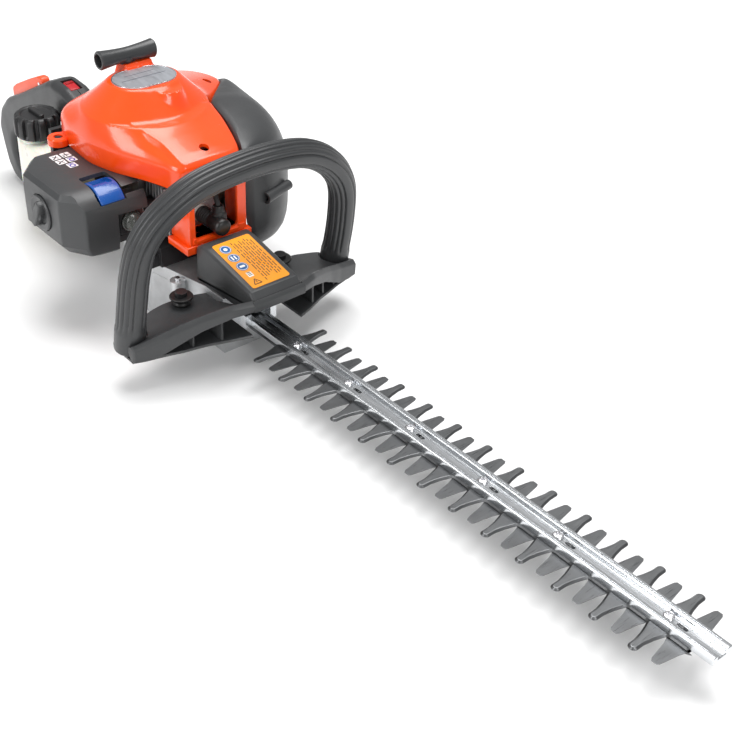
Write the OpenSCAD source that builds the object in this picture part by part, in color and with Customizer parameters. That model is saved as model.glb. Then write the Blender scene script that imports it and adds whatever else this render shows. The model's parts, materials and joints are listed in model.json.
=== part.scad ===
// Petrol hedge trimmer with a double-sided reciprocating blade pair.
// +X runs along the guide bar to its tip, +Y is the muffler side and +Z is up.
// The origin is at the middle of the bounding box, on the floor.

/* [Blades and bar] */
// Distance between neighbouring teeth of one blade
tooth_pitch = 35; // [34:0.5:36]
// Teeth on each side of a blade
tooth_count = 13; // [12:1:13]
// Thickness of each blade
blade_t = 1.9; // [1.6:0.1:2]
// Half width of the upper blade over its tooth tips
upper_reach = 40; // [38:0.5:42]
// Half width of the lower blade over its tooth tips
lower_reach = 36; // [34:0.5:37]
// Half of each blade's stroke
half_stroke = 8.5; // [7:0.5:8.5]
// Height of the sliding plane between the two blades
blade_z = 31; // [31:0.5:31]
// Front end of the guide bar
bar_tip_x = 487; // [480:1:490]
// Width of the guide bar
bar_w = 21; // [20:0.5:21]

/* [Drive] */
// Gear module
gear_module = 1.5; // [1.5:0.1:1.5]
// Teeth on the pinion under the clutch drum
pinion_teeth = 12; // [12:1:12]
// Teeth on the crank gear
gear_teeth = 48; // [48:1:48]
// X of the engine's crankshaft axis
crank_x = -197; // [-197:1:-197]
// Radius of the eccentric discs that drive the blades
eccentric_r = 14; // [14:0.5:15]

/* [Engine] */
// Height of the cylinder's axis
cylinder_z = 106; // [106:1:106]
// Cylinder bore
bore_d = 32; // [30:1:33]
// Engine stroke
engine_stroke = 26; // [24:1:26]
// Outer radius of the flywheel
flywheel_r = 50; // [46:1:52]
// Wall of the plastic covers
wall = 2.5; // [2:0.1:3]

/* [Starter cover] */
// Radius of the round top cover
cover_r = 84; // [82:1:84]
// Height of the round part's shoulder
cover_z = 165; // [164:1:166]
// Height of the crease between the skirt and the dome
foot_z = 184; // [182:1:186]
// Height of the raised plateau that carries the badge
plateau_z = 208; // [204:1:210]

/* [Handles] */
// Diameter of the front loop handle
loop_d = 27; // [25:0.5:29]
// Width of the rear handle
grip_w = 31; // [28:1:34]

/* [Hidden] */
$fn = 48;

gap = 0.1;
first_tooth_x = 22;
strip_half_w = 11;
blade_end_x = 467;
bolt_x = [30, 101, 179, 262, 340, 442];
bolt_r = 2.5;
bar_rear_x = -60;
bar_bottom_z = blade_z + blade_t + 2 * gap;
bar_top_z = 39.5;
channel_z = 35.5;

pinion_r = gear_module * pinion_teeth / 2;
gear_r = gear_module * gear_teeth / 2;
gear_x = crank_x + pinion_r + gear_r;
yoke_clear = 2;
yoke_half_x = eccentric_r + yoke_clear;
yoke_half_y = eccentric_r + half_stroke + 1.5;
yoke_rim = 6;
case_split_z = 46;
case_top_z = 58;

web_r = 20;
rope_x = -28;
cap_y = -39.5;
rod_len = 46;
wrist_x = crank_x + sqrt(pow(rod_len, 2) - pow(engine_stroke / 2, 2));
loop_lean = 10;
charcoal = [0.24, 0.25, 0.26];
orange = [0.98, 0.33, 0.09];
steel = [0.6, 0.58, 0.56];
alloy = [0.8, 0.81, 0.82];

loop_route = [[-116, 53], [-115, 84], [-113, 116], [-106, 144], [-88, 166], [-58, 182], [-20, 188],
    [20, 188], [58, 180], [88, 160], [106, 132], [112, 94], [112, 53]];
lead_route = [[-252, 17, 146], [-238, 44, 146], [-214, 55, 146], [-180, 52.5, 146], [-164, 44.5, 146],
    [-148, 33, 146], [-134, 20, 146], [-116, 9, 142], [-100, 5, 136], [-92, 4, 126], [-90, 4, 119]];
hose_route = [[-287.5, -32, 92], [-272, -32, 92], [-250, -36, 95], [-225, -38, 98], [-202, -38.5, 101],
    [-182, -48, 105], [-168.5, -50, 106]];

// ---- shared helpers ----

function polar(r, a) = [r * cos(a), r * sin(a)];
function arc(c, r, a0, a1, n = 8) = [for (i = [0:n]) c + polar(r, a0 + (a1 - a0) * i / n)];
function catmull(p, t) = 0.5 * (2 * p[1] + (p[2] - p[0]) * t
    + (2 * p[0] - 5 * p[1] + 4 * p[2] - p[3]) * t * t + (3 * p[1] - p[0] - 3 * p[2] + p[3]) * t * t * t);
function around(pts, i) = [for (k = [-1:2]) pts[max(0, min(len(pts) - 1, i + k))]];
function smooth(pts, n) = concat([for (i = [0:len(pts) - 2]) for (k = [0:n - 1]) catmull(around(pts, i), k / n)],
    [pts[len(pts) - 1]]);
function unit(v) = v / norm(v);
function tangent(p, i) = unit(p[min(len(p) - 1, i + 1)] - p[max(0, i - 1)]);

// A round tube swept along a route of points.
module tube_along(route, r, sides = 12) {
    n = len(route);
    up = abs(tangent(route, 0)[2]) > 0.9 ? [0, 1, 0] : [0, 0, 1];
    frames = [for (i = 0, u = unit(cross(up, tangent(route, 0))); i < n;
        i = i + 1, u = i < n ? unit(u - (u * tangent(route, i)) * tangent(route, i)) : u) u];
    rings = [for (i = [0:n - 1]) for (k = [0:sides - 1])
        let (u = frames[i], v = cross(tangent(route, i), u), a = 360 * k / sides)
        route[i] + r * cos(a) * u + r * sin(a) * v];
    walls = [for (i = [0:n - 2]) for (k = [0:sides - 1])
        let (a = i * sides + k, b = i * sides + (k + 1) % sides)
        [a, a + sides, b + sides, b]];
    caps = [[for (k = [0:sides - 1]) k], [for (k = [sides - 1:-1:0]) (n - 1) * sides + k]];
    polyhedron(rings, concat(walls, caps), convexity = 8);
}

module tube(r, ri, h) {
    difference() {
        cylinder(r = r, h = h);
        translate([0, 0, -1]) cylinder(r = ri, h = h + 2);
    }
}

module block(a, b) { translate(a) cube(b - a); }

// A 2D profile in X and Z, extruded symmetrically over the width w.
module side_profile(pts, w) { rotate([90, 0, 0]) linear_extrude(w, center = true) polygon(pts); }

// A gear with involute flanks, slimmed by the backlash at each flank.
function involute(rb, t) = let (a = t * 180 / PI) rb * [cos(a) + t * sin(a), sin(a) - t * cos(a)];
function turned(p, a) = [p[0] * cos(a) - p[1] * sin(a), p[0] * sin(a) + p[1] * cos(a)];
module spur_gear(teeth, h, backlash = 0.12) {
    rp = gear_module * teeth / 2;
    rb = rp * cos(20);
    ra = rp + gear_module * 0.95;
    rr = rp - gear_module * 1.2;
    t_max = sqrt(pow(ra / rb, 2) - 1);
    t_pitch = sqrt(pow(rp / rb, 2) - 1);
    half = 90 / teeth + t_pitch * 180 / PI - atan(t_pitch) - backlash * 90 / (PI * rp);
    flank = [for (k = [0:4]) let (p = involute(rb, t_max * k / 4)) [norm(p), half - atan2(p[1], p[0])]];
    tooth = concat([polar(rr, -half)], [for (f = flank) polar(f[0], -f[1])],
        [for (k = [4:-1:0]) polar(flank[k][0], flank[k][1])], [polar(rr, half)]);
    linear_extrude(h) polygon([for (i = [0:teeth - 1]) for (p = tooth) turned(p, i * 360 / teeth)]);
}

// ---- top end: starter ----

module cover_plan(r, flat) {
    intersection() {
        circle(r = r, $fn = 96);
        translate([-100, -flat]) square([200, 200]);
    }
    polygon([[-84, 0], [-88, 60], [-88, 88], [-80, 102], [-66, 110], [-49, 113], [-37, 109.5], [0, 60]]);
    polygon([[40, -52], [70, -41], [97, -33], [104, -26], [104, 30], [60, 52]]);
}

module muffler_gap(y) {
    translate([0, y]) polygon([[104, 31], [87, 38.5], [58, 46.5], [41, 49.5], [26, 54], [-8, 83.5], [-37, 109.5],
        [-37, 200], [140, 200], [140, 25]]);
}

// Skirt and dome over the flywheel, lowered by the depth d for the inner side.
module cover_dome(d) {
    inset = 1.2 * d;
    intersection() {
        translate([0, 0, cover_z - inset]) cylinder(r1 = cover_r - inset, r2 = 58 - inset, h = foot_z - cover_z);
        translate([-100, inset - 67, 100]) cube([200, 200, 100]);
    }
    for (s = [-1, 1]) translate([0, 8 * s, foot_z - inset - 0.1])
        cylinder(r1 = 50 - inset, r2 = 27 - inset, h = plateau_z - foot_z + 0.1);
}

// Hood that runs forward from the dome.
module cover_hood(d) {
    translate([-crank_x, 0, -d]) side_profile([[-176, 150], [-176, 188], [-160, 187], [-126, 178], [-104, 172],
        [-94 - d, 164], [-94 - d, 150]], 58 - 2 * d);
}

module starter_cover() {
    color(orange) translate([crank_x, 0, 0]) difference() {
        union() {
            difference() {
                union() {
                    translate([0, 0, 143]) linear_extrude(cover_z - 143) cover_plan(cover_r, 67);
                    cover_dome(0);
                    cover_hood(0);
                }
                translate([0, 0, 140]) linear_extrude(100) muffler_gap(0);
            }
            translate([-47, -67, 143]) cylinder(r = 10, h = 7);
            translate([rope_x, 0, 190]) cylinder(r = 11, h = plateau_z + 3 - 190);
        }
        difference() {
            union() {
                translate([0, 0, 142]) linear_extrude(cover_z - wall - 142) offset(delta = -wall)
                    cover_plan(cover_r, 67);
                cover_dome(wall);
                cover_hood(wall);
            }
            translate([0, 0, 140]) linear_extrude(100) muffler_gap(-wall);
        }
        translate([rope_x, 0, 180]) cylinder(r = 5, h = 40);
        for (p = screw_spots) translate([p[0] - crank_x, p[1], 120]) cylinder(r = 3.2, h = 80);
    }
    color(orange) translate([crank_x, 0, 177]) cylinder(r = 5, h = plateau_z - 2 - 177);
}
screw_spots = [[-106, 2], [-230, 90.5], [-244, -67]];

module badge_plate() {
    color("silver") translate([crank_x + 4, 0, plateau_z]) linear_extrude(0.8) {
        for (s = [-1, 1]) translate([0, 15 * s]) circle(r = 19);
        square([38, 30], center = true);
    }
}

module starter_grip() {
    color(charcoal) translate([crank_x + rope_x, 0, plateau_z + 12.5]) difference() {
        rotate([90, 0, 0]) cylinder(r = 9, h = 58, center = true);
        rotate([90, 0, 0]) for (s = [-1, 1]) translate([0, 0, 25 * s]) cylinder(r = 6, h = 12, center = true);
    }
}

module starter_rope() {
    color("white") {
        translate([crank_x + rope_x, 0, 182]) cylinder(r = 1.5, h = plateau_z + 3.4 - 182);
        translate([crank_x, 0, 183.5]) rotate_extrude() translate([20.8, 0]) circle(r = 1.4);
    }
}

module rope_guide() {
    color("black") translate([crank_x + rope_x, 0, plateau_z - 5]) tube(4.9, 2, 8);
}

module starter_pulley() {
    color("dimgray") translate([crank_x, 0, 178]) difference() {
        rotate_extrude() polygon([[5.05, 0], [23, 0], [23, 2], [19, 4], [19, 7], [23, 9], [23, 11], [5.05, 11]]);
        for (a = [0:60:300]) rotate(a) translate([12, 0, -1]) cylinder(r = 3, h = 13);
    }
}

// Spiral spring, drawn as its full turns.
module recoil_spring() {
    color("lightsteelblue") translate([crank_x, 0, 190]) {
        for (r = [7:2:19]) tube(r + 0.5, r, 8);
        block([5.1, -0.6, 3], [19.5, 0.6, 5]);
    }
}

module front_shroud() {
    color(orange) difference() {
        union() {
            block([-116, -30, 88], [-86, 32, 142.6]);
            block([-116, -34, 84], [-84.4, 36, 92]);
        }
        block([-117, -27, 80], [-89, 29, 143]);
        block([-90, -16, 98], [-80, 20, 132]);
    }
}

// ---- engine ----

module flywheel() {
    color("gray") translate([crank_x, 0, 138]) difference() {
        union() {
            cylinder(r = flywheel_r - 6, h = 4);
            cylinder(r = 13, h = 14);
            translate([0, 0, 4]) tube(34, 31, 8);
            for (a = [0:24:336]) rotate(a) block([33, -1, 3.5], [flywheel_r, 1, 15]);
        }
        translate([0, 0, -1]) cylinder(r = 6, h = 20);
        for (a = [60:120:300]) rotate(a) translate([22, 0, -1]) cylinder(r = 5, h = 8);
    }
}

module crankshaft() {
    color(steel) translate([crank_x, 0, 0]) {
        translate([0, 0, 66]) cylinder(r = 6, h = cylinder_z - 5 - 66 - 2);
        translate([0, 0, cylinder_z + 7]) cylinder(r = 6, h = 48);
        for (z = [-11, 5]) translate([0, 0, cylinder_z + z]) cylinder(r = web_r, h = 6);
    }
}

module clutch_rotor() {
    color("darkgray") translate([crank_x, 0, 67]) difference() {
        cylinder(r = 25, h = 8);
        translate([0, 0, -1]) cylinder(r = 6, h = 10);
        for (a = [0, 180]) rotate(a) {
            block([-26, 8, -1], [26, 9.5, 9]);
            translate([12, 16, -1]) cylinder(r = 3, h = 10);
        }
    }
}

module clutch_drum() {
    color(steel) translate([crank_x, 0, 0]) {
        difference() {
            translate([0, 0, 61]) cylinder(r = 30, h = 15);
            translate([0, 0, 63.5]) cylinder(r = 27, h = 20);
            for (a = [0:60:300]) rotate(a) translate([17, 0, 60]) cylinder(r = 4, h = 5);
        }
        translate([0, 0, 44]) cylinder(r = 5, h = 18);
        translate([0, 0, 34.5]) rotate(180 / pinion_teeth) spur_gear(pinion_teeth, 9.5);
    }
}

module crankcase() {
    color(alloy) translate([crank_x, 0, 0]) difference() {
        union() {
            translate([0, 0, 78]) cylinder(r = 34, h = 56);
            block([0, -30, 78], [28, 30, 134]);
            for (y = [-40, 40]) block([-12, min(y, 0), 78], [12, max(y, 0), 84]);
        }
        translate([0, 0, cylinder_z - 14]) cylinder(r = 26.6, h = 28);
        translate([0, 0, 60]) cylinder(r = 12, h = 90);
        translate([0, 0, cylinder_z]) rotate([0, 90, 0]) cylinder(r = bore_d / 2 + 2.1, h = 40);
    }
}

module crank_bearings() {
    color("silver") translate([crank_x, 0, 0]) for (z = [79, 125]) translate([0, 0, z]) {
        tube(12, 9.5, 8);
        tube(8, 6.05, 8);
        for (a = [0:45:315]) rotate(a) translate([8.75, 0, 1]) cylinder(r = 1.4, h = 6);
    }
}

module cylinder_node() {
    color("gainsboro") translate([crank_x, 0, cylinder_z]) difference() {
        union() {
            translate([22, 0, 0]) rotate([0, 90, 0]) cylinder(r = bore_d / 2 + 2, h = 54);
            for (x = [36:5:72]) block([x, -27, -24], [x + 1.6, 27, 24]);
            block([74, -20, -20], [79, 20, 20]);
        }
        translate([20, 0, 0]) rotate([0, 90, 0]) cylinder(r = bore_d / 2, h = 54);
        translate([70, 0, 0]) rotate([0, 90, 0]) cylinder(r = 5, h = 20);
        rotate([90, 0, 0]) translate([46, 0, 0]) cylinder(r = 6, h = 40);
        rotate([-90, 0, 0]) translate([52, 0, 0]) cylinder(r = 6, h = 40);
    }
}

module piston() {
    color("lightgray") translate([wrist_x, 0, cylinder_z]) difference() {
        translate([-10, 0, 0]) rotate([0, 90, 0]) cylinder(r = bore_d / 2 - 0.06, h = 23);
        translate([-11, 0, 0]) rotate([0, 90, 0]) cylinder(r = bore_d / 2 - 3, h = 20);
        cylinder(r = 4, h = 60, center = true);
    }
}

// Connecting rod with its wrist pin and crankpin.
module connecting_rod() {
    lean = atan2(engine_stroke / 2, wrist_x - crank_x);
    color(steel) {
        translate([wrist_x, 0, cylinder_z]) {
            cylinder(r = 3.95, h = 24, center = true);
            translate([0, 0, -4]) cylinder(r = 6.5, h = 8);
            rotate(180 - lean) block([4, -3, -3], [rod_len - 6, 3, 3]);
        }
        translate([crank_x, engine_stroke / 2, cylinder_z - 4]) cylinder(r = 8, h = 8);
        translate([crank_x, engine_stroke / 2, cylinder_z - 4.7]) cylinder(r = 5, h = 9.4);
    }
}

module spark_plug() {
    color("white") translate([crank_x + 74, 0, cylinder_z]) rotate([0, 90, 0]) {
        cylinder(r = 4.95, h = 5);
        translate([0, 0, 5]) cylinder(r = 9, h = 7, $fn = 6);
        translate([0, 0, 11.9]) cylinder(r1 = 5, r2 = 3.5, h = 12);
    }
}

module plug_cap() {
    color([0.08, 0.08, 0.08]) translate([0, 0, cylinder_z]) difference() {
        union() {
            translate([-110, 0, 0]) rotate([0, 90, 0]) cylinder(r = 8, h = 20);
            translate([-90, 4, -6]) cylinder(r = 7, h = 16);
            translate([-90, 4, 10]) cylinder(r = 4.5, h = 6);
            translate([-90, 4, 0]) rotate([0, 90, 0]) cylinder(r = 6, h = 8);
        }
        translate([-111, 0, 0]) rotate([0, 90, 0]) cylinder(r = 5.1, h = 12.2);
        translate([-90, 4, 12.8]) cylinder(r = 3, h = 5);
    }
}

module ignition_lead() { color("black") tube_along(smooth(lead_route, 3), 2.5, 8); }

module ignition_coil() {
    color("darkslategray") {
        block([-266, -16, 136], [-254, 16, 152]);
        block([-254, -16, 139], [-249, -10, 149]);
        block([-254, 10, 139], [-249, 16, 143]);
    }
}

// ---- intake side ----

module intake_manifold() {
    color("black") translate([crank_x + 46, -27.1, cylinder_z]) rotate([90, 0, 0]) {
        tube(9, 5, 14);
        translate([0, 0, 12]) tube(10.9, 5, 2);
    }
}

module carburettor() {
    color("lightgray") difference() {
        union() {
            block([-168, -63, 92], [-134, -41.2, 122]);
            block([-140, -72, 96], [-134, -47, 120]);
        }
        translate([crank_x + 46, 0, cylinder_z]) rotate([90, 0, 0]) cylinder(r = 5, h = 80);
        translate([-138.5, -60, 108]) rotate([0, 90, 0]) cylinder(r = 10.4, h = 6);
    }
}

module filter_element() {
    color("ivory") difference() {
        union() {
            block([-228, -98, 84], [-180, -68, 134]);
            block([-181, -98, 84], [-158, -68, 110]);
        }
        translate([-186, -60, 113]) rotate([90, 0, 0]) cylinder(r = 4, h = 60);
    }
}

module filter_cover() {
    outer = [[-240, 90], [-228, 80], [-140, 78], [-130, 85], [-130, 136], [-136, 142], [-234, 142], [-240, 136]];
    inner = [[-237.5, 91], [-227, 82.5], [-141, 80.5], [-132.5, 86], [-132.5, 135], [-137, 139.5],
        [-233, 139.5], [-237.5, 135]];
    color(charcoal) difference() {
        union() {
            translate([0, -42, 0]) rotate([90, 0, 0]) linear_extrude(63) polygon(outer);
            translate([0, -105, 0]) rotate([90, 0, 0]) translate([-185, 112, 0])
                linear_extrude(15, scale = [0.6, 0.92], slices = 1) translate([185, -112]) polygon(outer);
        }
        translate([0, -41, 0]) rotate([90, 0, 0]) linear_extrude(64) polygon(inner);
        translate([0, -104.9, 0]) rotate([90, 0, 0]) translate([-185, 112, 0])
            linear_extrude(12.6, scale = [0.64, 0.94], slices = 1) translate([185, -112]) polygon(inner);
        block([-176, -89.5, 130], [-120, -62.5, 150]);
        translate([-186, -100, 113]) rotate([90, 0, 0]) cylinder(r = 3.1, h = 40);
        block([-156, -76, 92], [-120, -40, 122]);
        translate([crank_x, 0, 132]) cylinder(r = flywheel_r + 2, h = 20);
    }
}

module filter_knob() {
    color(charcoal) translate([-186, -120.3, 113]) rotate([90, 0, 0]) {
        cylinder(r = 16.5, h = 2.5);
        translate([0, 0, -30]) cylinder(r = 3.05, h = 31);
        block([-15, -2.5, 2], [15, 2.5, 7]);
    }
}

module icon_label() { color("white") block([-225, -91, 142], [-191, -67, 142.4]); }

module choke_lever() {
    translate([-153, -76, 116]) rotate([90, 0, 0]) {
        color([0.02, 0.3, 0.72]) difference() {
            cylinder(r = 27, h = 24, center = true);
            cylinder(r = 24, h = 30, center = true);
            translate([0, 0, -20]) linear_extrude(40)
                polygon([[0, 0], [43, 35], [50, -50], [-50, -50], [-50, 44], [-34.4, 44]]);
        }
        color([0.02, 0.3, 0.72]) difference() {
            union() {
                cylinder(r = 4, h = 20, center = true);
                rotate(70) block([2, -3, -2], [25, 3, 2]);
            }
            cylinder(r = 2.05, h = 30, center = true);
        }
        color("silver") cylinder(r = 2.05, h = 22, center = true);
    }
}

module primer_bulb() {
    color([0.9, 0.9, 0.85, 0.6]) translate([-134, -60, 108]) difference() {
        rotate([0, 90, 0]) rotate_extrude() polygon(concat([[0, 0], [10, 0], [10, 1]], arc([0, 1], 9, 0, 90)));
        translate([-1, 0, 0]) rotate([0, 90, 0]) cylinder(r = 6, h = 6);
    }
}

// ---- exhaust side ----

module muffler() {
    color("darkgray") difference() {
        union() {
            block([-190, 41, 80], [-122, 96, 132]);
            translate([crank_x + 52, 41.5, cylinder_z]) rotate([90, 0, 0]) cylinder(r = 12, h = 14.3);
        }
        block([-187, 44, 83], [-125, 93, 129]);
        translate([crank_x + 52, 50, cylinder_z]) rotate([90, 0, 0]) cylinder(r = 6, h = 30);
    }
}

module muffler_cover() {
    lower = [[-263, 60], [-118, 60], [-96, 41], [-96, 62], [-103, 84], [-131, 112], [-172, 127], [-246, 129],
        [-263, 112]];
    upper = [[-233, 114], [-205, 87], [-171, 57.5], [-156, 53], [-139, 50], [-110, 42], [-95, 36], [-96, 60],
        [-103, 84], [-131, 112], [-172, 127], [-225, 128]];
    color(charcoal) {
        difference() {
            translate([0, 0, 56]) linear_extrude(86) polygon(lower);
            translate([-172, 59, 60]) linear_extrude(90) scale(0.955) translate([172, -59]) polygon(lower);
        }
        difference() {
            translate([0, 0, 142]) linear_extrude(23) polygon(upper);
            translate([-155, 85, 141]) linear_extrude(21.5) scale(0.93) translate([155, -85]) polygon(upper);
        }
    }
}

// ---- tank, frame and rear handle ----

tank_plan = [[-288, -58], [-348, -58], [-372, -48], [-424, -20], [-424, 30], [-400, 48], [-288, 48]];

module fuel_tank() {
    side = [[-430, 20], [-284, 20], [-284, 106], [-366, 106], [-376, 62], [-400, 44], [-430, 36]];
    hollow = [[-420, 23], [-291, 23], [-291, 103], [-363, 103], [-373, 60], [-398, 41], [-420, 33]];
    color([0.93, 0.92, 0.88, 0.7]) difference() {
        union() {
            intersection() {
                linear_extrude(120) polygon(tank_plan);
                side_profile(side, 140);
            }
            translate([-340, cap_y, 105]) cylinder(r = 17, h = 13);
        }
        intersection() {
            translate([-350, 0, 0]) linear_extrude(120) scale(0.94) translate([350, 0]) polygon(tank_plan);
            side_profile(hollow, 140);
        }
        translate([-340, cap_y, 100]) cylinder(r = 14, h = 30);
        block([-380, -17, 74], [-280, 17, 130]);
    }
}

module fuel_cap() {
    color([0.1, 0.1, 0.1]) translate([-340, cap_y, 110]) difference() {
        union() {
            cylinder(r = 21, h = 24);
            for (a = [0:30:330]) rotate(a) translate([19.5, 0, 0]) cylinder(r = 3.4, h = 22);
        }
        translate([0, 0, -1]) cylinder(r = 17.08, h = 17);
    }
}

module fuel_hose() { color([0.75, 0.7, 0.5]) tube_along(smooth(hose_route, 3), 2.5, 8); }

module base_frame() {
    color([0.16, 0.16, 0.17]) difference() {
        union() {
            block([-284, -40, 58.1], [-120, 40, 77.9]);
            block([-284, -56, 20], [-279, 58, 140]);
            block([-150, -56, 58.1], [-124, -40, 70]);
        }
        translate([crank_x, 0, 50]) cylinder(r = 33, h = 40);
        translate([-290, -17, 84]) cube([20, 34, 80]);
        translate([-292, -32, 92]) rotate([0, 90, 0]) cylinder(r = 3.5, h = 20);
    }
}

loop_outer = concat([[-284.2, 138], [-330, 153]], arc([-352, 133], 21, 78, 124), arc([-452, 65], 35, 122, 184),
    [[-479, 34]], arc([-452, 24], 24, 190, 270), [[-284.2, 0]]);
loop_window = concat(arc([-440, 50], 14, 122, 210), [[-446, 30]], arc([-432, 27], 8, 180, 270),
    [[-284, 19.5], [-284, 84], [-340, 112], [-356, 115]], arc([-376, 92], 16, 40, 60));

// One half of the rear handle; side is -1 for the right and 1 for the left half.
module handle_half(side) {
    difference() {
        rotate([90, 0, 0]) translate([0, 0, side > 0 ? -grip_w / 2 : 0.05]) linear_extrude(grip_w / 2 - 0.05)
            difference() {
                polygon(loop_outer);
                polygon(loop_window);
            }
        side_profile([[-460, 84], [-456, 95], [-362, 146], [-336, 148], [-336, 118], [-362, 119], [-384, 101],
            [-452, 66]], grip_w - 7);
        block([-466, -6, 91], [-384, 6, 150]);
        block([-424, -5, 60], [-363, 5, 120]);
        block([-347, -6.5, 130], [-325, 6.5, 160]);
    }
}

module rear_handle_left() { color(charcoal) handle_half(1); }
module rear_handle_right() { color(charcoal) handle_half(-1); }

module throttle_trigger() {
    color([0.1, 0.1, 0.1]) difference() {
        side_profile(concat([[-368, 124], [-364, 118], [-370, 108]], [[-384, 88], [-402, 66], [-410, 64], [-408, 74],
            [-400, 96], [-384, 112]]), 9);
        translate([-372, 0, 116]) rotate([90, 0, 0]) cylinder(r = 2.05, h = 20, center = true);
    }
    color("silver") translate([-372, 0, 116]) rotate([90, 0, 0]) cylinder(r = 2.05, h = 11, center = true);
}

module trigger_spring() {
    color("silver") translate([-356, 0, 128]) rotate([90, 0, 0]) {
        for (z = [-4:2:4]) translate([0, 0, z - 0.5]) tube(4, 3, 1);
    }
}

module throttle_lockout() {
    color([0.95, 0.2, 0.08]) difference() {
        side_profile([[-390, 141], [-388, 132], [-396, 127], [-455, 92], [-461, 103], [-461, 113], [-452, 117],
            [-420, 133], [-400, 142]], 10);
        translate([-396, 0, 134]) rotate([90, 0, 0]) cylinder(r = 2.05, h = 20, center = true);
    }
    color("silver") translate([-396, 0, 134]) rotate([90, 0, 0]) cylinder(r = 2.05, h = 11.6, center = true);
}

module stop_switch() {
    color([0.75, 0.05, 0.08]) side_profile([[-344, 146], [-328, 146], [-328, 154], [-336, 156.5], [-344, 157]], 11);
}

// ---- front handle, guard and gear case ----

module front_handle() {
    lean = tan(loop_lean);
    route = [for (p = smooth(loop_route, 4)) [-58 + (p[1] - 33) * lean, p[0], p[1]]];
    color(charcoal) tube_along(route, loop_d / 2, 14);
}

module handle_screws() {
    color("dimgray") for (y = [-116, 112]) translate([-55, y, 36.9]) {
        cylinder(r = 5.5, h = 3);
        cylinder(r = 3, h = 12.5);
    }
}

module wing(t) {
    hull() {
        block([-52 + t, 27, 40 + t], [4, 28, 78 - t]);
        block([-50 + t, 80, 32 + t], [-6, 82, 68 - t]);
    }
    hull() {
        block([-50 + t, 80, 32 + t], [-6, 82, 68 - t]);
        block([-64 + t, 122 - t, 28 + t], [-30, 124 - t, 46 - t]);
    }
}

module hand_guard() {
    color(charcoal) for (s = [0, 1]) mirror([0, s, 0]) difference() {
        union() {
            wing(0);
            block([-70, 100, 40], [-40, 124, 49]);
            block([-78, 30, 44.1], [-46, 66, 52]);
            block([4.3, -1, 60], [8, 28.5, 79]);
            block([0, 27.5, 60], [8, 31, 79]);
        }
        translate([1, 0, 0]) wing(3);
        translate([-55, s == 0 ? 112 : 116, 20]) {
            cylinder(r = 3.2, h = 40);
            cylinder(r = 6.5, h = 19.95);
            translate([0, 0, 29]) cylinder(r = loop_d / 2 + 2, h = 40);
        }
        translate([-66, 55, 30]) cylinder(r = 3.2, h = 40);
    }
}

gear_cover_side = [[-84, 58.2], [-84, 92], [-76, 97.5], [-66, 97], [-2, 84], [4, 78], [4, 58.2]];

module gear_cover() {
    color(charcoal) difference() {
        side_profile(gear_cover_side, 53);
        side_profile([[-81.5, 57], [-81.5, 91], [-75, 94.8], [-67, 94.4], [-3, 81.6], [1.5, 77], [1.5, 57]], 48);
    }
}

module warning_label() {
    color([0.98, 0.6, 0.1]) translate([-67.6, 0, 97.4]) rotate([0, 11.48, 0]) block([0, -20, 0], [64, 20, 0.4]);
}

module case_plan(inset) {
    translate([gear_x, 0]) circle(r = 44 - inset);
    translate([crank_x, 0]) circle(r = 30 - inset);
    polygon([[crank_x, -30 + inset], [gear_x, -44 + inset], [gear_x, 44 - inset], [crank_x, 30 - inset]]);
    polygon([[gear_x, -44 + inset], [-70, -27 + inset], [-42 - inset, -27 + inset], [-42 - inset, 27 - inset],
        [-70, 27 - inset], [gear_x, 44 - inset]]);
}

module gearcase_lower() {
    yoke_x = yoke_half_x + yoke_rim + half_stroke + 1;
    yoke_y = yoke_half_y + yoke_rim + 1;
    color(alloy) difference() {
        union() {
            linear_extrude(case_split_z) case_plan(0);
            for (y = [-1, 1]) translate([-98, 38 * y, 20]) cylinder(r = 7, h = case_split_z - 20);
            block([-76, -64, 34], [-57, 64, 44]);
        }
        translate([0, 0, 34]) linear_extrude(20) {
            translate([gear_x, 0]) circle(r = gear_r + 3);
            translate([crank_x, 0]) circle(r = pinion_r + 4);
        }
        block([gear_x - yoke_x, -yoke_y, 28.6], [gear_x + yoke_x, yoke_y, 50]);
        block([gear_x, -strip_half_w - 1, 28.6], [-30, strip_half_w + 1, 33.4]);
        block([-62, -13, 33.3], [-30, 13, 50]);
        translate([gear_x, 0, 18]) cylinder(r = 10, h = 20);
        translate([gear_x, 0, -1]) cylinder(r = 3, h = 30);
        for (p = case_screw_spots) translate([p[0], p[1], 15]) cylinder(r = 2, h = 50);
        for (y = [-55, 55]) translate([-66, y, 30]) cylinder(r = 3, h = 20);
    }
}
case_screw_spots = [[-98, -38], [-98, 38], [-214, 18], [-214, -18]];

module gearcase_upper() {
    color(alloy) difference() {
        union() {
            translate([0, 0, case_split_z + gap]) linear_extrude(case_top_z - case_split_z - gap) case_plan(0);
            for (y = [-1, 1]) translate([-98, 38 * y, case_split_z + gap]) cylinder(r = 7, h = 9);
        }
        translate([crank_x, 0, 40]) cylinder(r = 10, h = 30);
        translate([gear_x, 0, 40]) cylinder(r = 10, h = 14);
        for (p = case_screw_spots) translate([p[0], p[1], 40]) cylinder(r = 2.6, h = 30);
    }
}

module crank_gear() {
    color(steel) translate([gear_x, 0, 0]) {
        translate([0, 0, 35]) difference() {
            spur_gear(gear_teeth, 8);
            for (a = [30:60:330]) rotate(a) translate([22, 0, -1]) cylinder(r = 6, h = 10);
        }
        translate([0, 0, 18.2]) cylinder(r = 5, h = 35.2);
        translate([0, half_stroke, blade_z + gap]) cylinder(r = eccentric_r, h = blade_t + 0.2);
        translate([0, -half_stroke, blade_z - gap - blade_t]) cylinder(r = eccentric_r, h = blade_t);
        translate([0, 0, blade_z - 0.5]) cylinder(r = eccentric_r - half_stroke - 0.4, h = 5);
    }
}

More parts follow.
